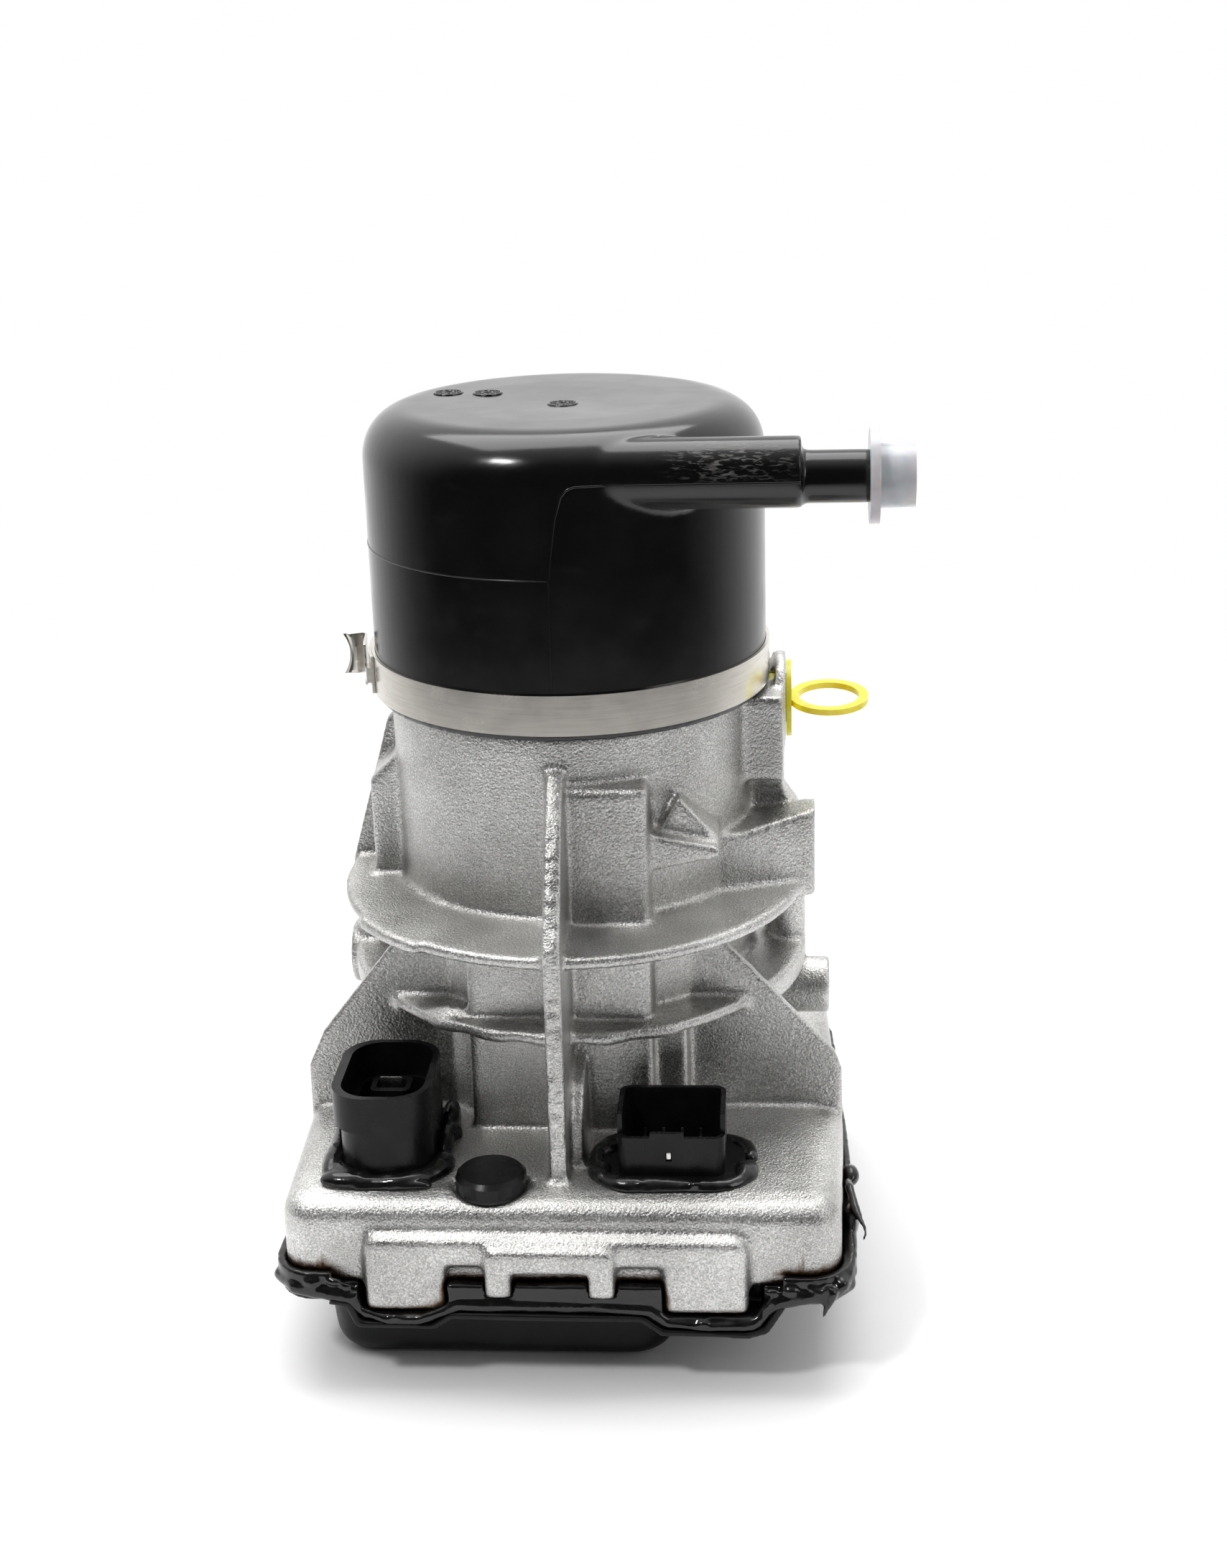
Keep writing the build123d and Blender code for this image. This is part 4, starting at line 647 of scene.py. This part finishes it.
def folded_ear():
    """Loose end of the clamp band, bent outwards, its free edge curved in."""
    work = bmesh.new()
    rows = []
    for index, (x, y) in enumerate(EAR_PATH):
        row = []
        for step in range(EAR_STEPS + 1):
            share = step / EAR_STEPS
            waist = 1 - (2 * share - 1) ** 2
            tuck = EAR_TUCK * waist * max(0.0, (index - EAR_TUCK_FROM) / EAR_TUCK_OVER)
            z = EAR_LOW + (EAR_HIGH - EAR_LOW) * share
            row.append(work.verts.new(Vector((x + tuck, y, z)) * MM))
        rows.append(row)
    for first, second in zip(rows, rows[1:]):
        for a, b, c, d in zip(first, first[1:], second[1:], second):
            work.faces.new((a, b, c, d))
    ear = work_object("ear", mesh_of(work, "ear"))
    thick = ear.modifiers.new("thick", "SOLIDIFY")
    thick.thickness = EAR_THICKNESS * MM
    thick.offset = 0
    round_off = ear.modifiers.new("round", "BEVEL")
    round_off.width = EAR_BEVEL * MM
    round_off.segments = 2
    finer = ear.modifiers.new("finer", "SUBSURF")
    finer.levels = 2
    return applied(ear)


new_piece("folded_ear", folded_ear(), finishes["stainless"], HOUSING, ["clamp_ear"])


# ---------------------------------------------------------------- dials on the reservoir
def dial(x, y):
    """Round mould insert on the top: a ring, a middle and short marks, without figures."""
    top = 247.4 + 0.6 * min(1.0, math.hypot(x, y) / 30)
    solid = bmesh.new()
    for radius, rise in ((3.9, 0.42), (1.5, 0.4)):
        turns = [step / 8 * math.pi for step in range(17)]
        ring = [(x + radius * math.cos(turn), y + radius * math.sin(turn), top) for turn in turns]
        add_strand(solid, ring, [rise] * len(ring))
    for step in range(12):
        angle = step / 6 * math.pi
        mark = [(x + at * math.cos(angle), y + at * math.sin(angle), top) for at in (2.3, 3.2)]
        add_strand(solid, mark, [0.3, 0.3])
    return soften(solid, 0.16, 1, keep=0.5)


for number, (x, y) in enumerate([(-33.0, 13.5), (-21.9, 12.5), (0.5, -3.5)]):
    new_piece(f"dial_{number + 1}", dial(x, y), MOULDING, HOUSING)


# ---------------------------------------------------------------- casting
RIM_R, RIM_Z = 61.6, 85.4
SMOKE_REACH = 3.2
CREVICE_GAIN, CREVICE_FLOOR = 4, 0.25


def smoke_of(mesh):
    """How close each vertex is to the sealant bead, from 1 at the bead to 0."""
    near = kdtree.KDTree(len(bead.data.vertices))
    for index, vertex in enumerate(bead.data.vertices):
        near.insert(vertex.co, index)
    near.balance()
    reach = SMOKE_REACH * MM
    return [max(0.0, 1 - near.find(vertex.co)[2] / reach) for vertex in mesh.vertices]


def crevice_of(mesh):
    """How hollow the surface is at each vertex, from 0 to 1."""
    work = bmesh.new()
    work.from_mesh(mesh)
    crevice = []
    for vertex in work.verts:
        hollow = 0.0
        for edge in vertex.link_edges:
            away = edge.other_vert(vertex).co - vertex.co
            hollow += away.dot(vertex.normal) / max(away.length, 1e-7)
        mean = hollow / max(1, len(vertex.link_edges))
        crevice.append(min(1.0, max(0.0, mean * CREVICE_GAIN - CREVICE_FLOOR)))
    work.free()
    return crevice


def casting():
    """Blasted casting with a rolled rim on the lower flange and dimples down the front rib."""
    solid = welded_copy("body_casting")
    turns = [math.radians(angle) for angle in range(-127, -51, 4)]
    rim = [(RIM_R * math.cos(turn), RIM_R * math.sin(turn), RIM_Z) for turn in turns]
    add_strand(solid, rim, [2.0 + 0.5 * math.sin(1.7 * step) for step in range(len(rim))])
    add_strand(solid, [(-37.4, -47.5, 86.2), (-33, -49.5, 88.2), (-27, -51.5, 88.8)], [2.4, 2.0, 1.2])
    mesh = soften(solid, 0.9, 8, keep=0.5)
    for vertex in mesh.vertices:
        x, y, z = vertex.co / MM
        if -3.4 < x < 2.2 and y < -58 and 54 < z < 157:
            vertex.co.y += 0.45 * MM * noise.noise(Vector((x / 2.5, 0, z / 2.2)))
    store(mesh, "smoke", smoke_of(mesh))
    store(mesh, "crevice", crevice_of(mesh))
    return mesh


new_piece(
    "cast_body", casting(), finishes["cast_aluminium"], HOUSING, ["body_casting"]
)


# ---------------------------------------------------------------- stage, lights and camera
FLOOR_RADIUS = 1.2
FADE_FROM, FADE_TO = 0.25, 0.75
PAPER_COLOUR = (0.93, 0.93, 0.935, 1)


def paper():
    """White diffuse paper, clear beyond the fade."""
    made = bpy.data.materials.new("paper")
    made.use_nodes = True
    tree = made.node_tree
    tree.nodes.clear()
    diffuse = tree.nodes.new("ShaderNodeBsdfDiffuse")
    diffuse.inputs["Color"].default_value = PAPER_COLOUR
    output = tree.nodes.new("ShaderNodeOutputMaterial")
    clear = tree.nodes.new("ShaderNodeBsdfTransparent")
    blend = tree.nodes.new("ShaderNodeMixShader")
    where = tree.nodes.new("ShaderNodeTexCoord")
    length = tree.nodes.new("ShaderNodeVectorMath")
    length.operation = "LENGTH"
    fade = tree.nodes.new("ShaderNodeMapRange")
    fade.interpolation_type = "SMOOTHSTEP"
    fade.inputs["From Min"].default_value = FADE_FROM
    fade.inputs["From Max"].default_value = FADE_TO
    tree.links.new(where.outputs["Object"], length.inputs[0])
    tree.links.new(length.outputs["Value"], fade.inputs["Value"])
    tree.links.new(fade.outputs["Result"], blend.inputs["Fac"])
    tree.links.new(diffuse.outputs[0], blend.inputs[1])
    tree.links.new(clear.outputs[0], blend.inputs[2])
    tree.links.new(blend.outputs[0], output.inputs["Surface"])
    return made


def floor():
    """White paper that fades into the white surroundings."""
    work = bmesh.new()
    bmesh.ops.create_circle(work, cap_ends=True, radius=FLOOR_RADIUS, segments=96)
    made = work_object("floor", mesh_of(work, "floor"))
    set_material(made, paper())


ROOM_LEAN = (0, 0.85, 0.5)  # the room grows brighter in this direction
ROOM_FROM, ROOM_TO = -0.4, 0.7
ROOM_DARK, ROOM_BRIGHT = 0.04, 1.15


def surroundings():
    """White backdrop for the camera, and a softer, uneven room for light and reflections."""
    world = bpy.data.worlds.new("studio")
    world.use_nodes = True
    bpy.context.scene.world = world
    tree = world.node_tree
    tree.nodes.clear()
    output = tree.nodes.new("ShaderNodeOutputWorld")
    seen = tree.nodes.new("ShaderNodeBackground")
    seen.inputs["Strength"].default_value = 1.0
    seen.inputs["Color"].default_value = (1, 1, 1, 1)
    room = tree.nodes.new("ShaderNodeBackground")
    room.inputs["Strength"].default_value = 1.0
    where = tree.nodes.new("ShaderNodeTexCoord")
    tone = tree.nodes.new("ShaderNodeMapRange")
    tone.interpolation_type = "SMOOTHSTEP"
    tone.inputs["From Min"].default_value = ROOM_FROM
    tone.inputs["From Max"].default_value = ROOM_TO
    tone.inputs["To Min"].default_value = ROOM_DARK
    tone.inputs["To Max"].default_value = ROOM_BRIGHT
    mixed = tree.nodes.new("ShaderNodeMixShader")
    path = tree.nodes.new("ShaderNodeLightPath")
    lean = tree.nodes.new("ShaderNodeVectorMath")
    lean.operation = "DOT_PRODUCT"
    lean.inputs[1].default_value = ROOM_LEAN
    tree.links.new(where.outputs["Generated"], lean.inputs[0])
    tree.links.new(lean.outputs["Value"], tone.inputs["Value"])
    tree.links.new(tone.outputs["Result"], room.inputs["Color"])
    tree.links.new(path.outputs["Is Camera Ray"], mixed.inputs["Fac"])
    tree.links.new(room.outputs[0], mixed.inputs[1])
    tree.links.new(seen.outputs[0], mixed.inputs[2])
    tree.links.new(mixed.outputs[0], output.inputs["Surface"])


def softbox(name, place, aim, size, power):
    data = bpy.data.lights.new(name, "AREA")
    data.shape = "RECTANGLE"
    data.size, data.size_y = size
    data.energy = power
    made = bpy.data.objects.new(name, data)
    made.location = place
    made.rotation_euler = (Vector(aim) - Vector(place)).to_track_quat("-Z", "Y").to_euler()
    bpy.context.scene.collection.objects.link(made)


CAMERA_PLACE = (0.05965, -0.62253, 0.35878)
CAMERA_RIGHT = (0.99728, 0.06783, -0.02883)
CAMERA_UP = (0.00436, 0.33616, 0.94179)
CAMERA_FORWARD = (-0.07357, 0.93936, -0.33495)
SENSOR_MM = 36
LENS_MM = 52.8


def camera():
    data = bpy.data.cameras.new("camera")
    data.sensor_width = SENSOR_MM
    data.lens = LENS_MM
    data.clip_start = 0.01
    made = bpy.data.objects.new("camera", data)
    turn = Matrix((Vector(CAMERA_RIGHT), Vector(CAMERA_UP), -Vector(CAMERA_FORWARD))).transposed()
    made.matrix_world = Matrix.Translation(CAMERA_PLACE) @ turn.to_4x4()
    bpy.context.scene.collection.objects.link(made)
    bpy.context.scene.camera = made


floor()
surroundings()
softbox("overhead", (-0.05, 0.3, 1.15), (0, 0, 0.1), (1.1, 0.8), 11)
softbox("front_left", (-0.56, -0.7, 1.2), (0, 0, 0.12), (0.2, 0.14), 6)
softbox("front_right", (1.1, -0.6, 0.7), (0, 0, 0.12), (0.5, 0.7), 3)
camera()
bpy.context.scene.view_settings.view_transform = "Standard"
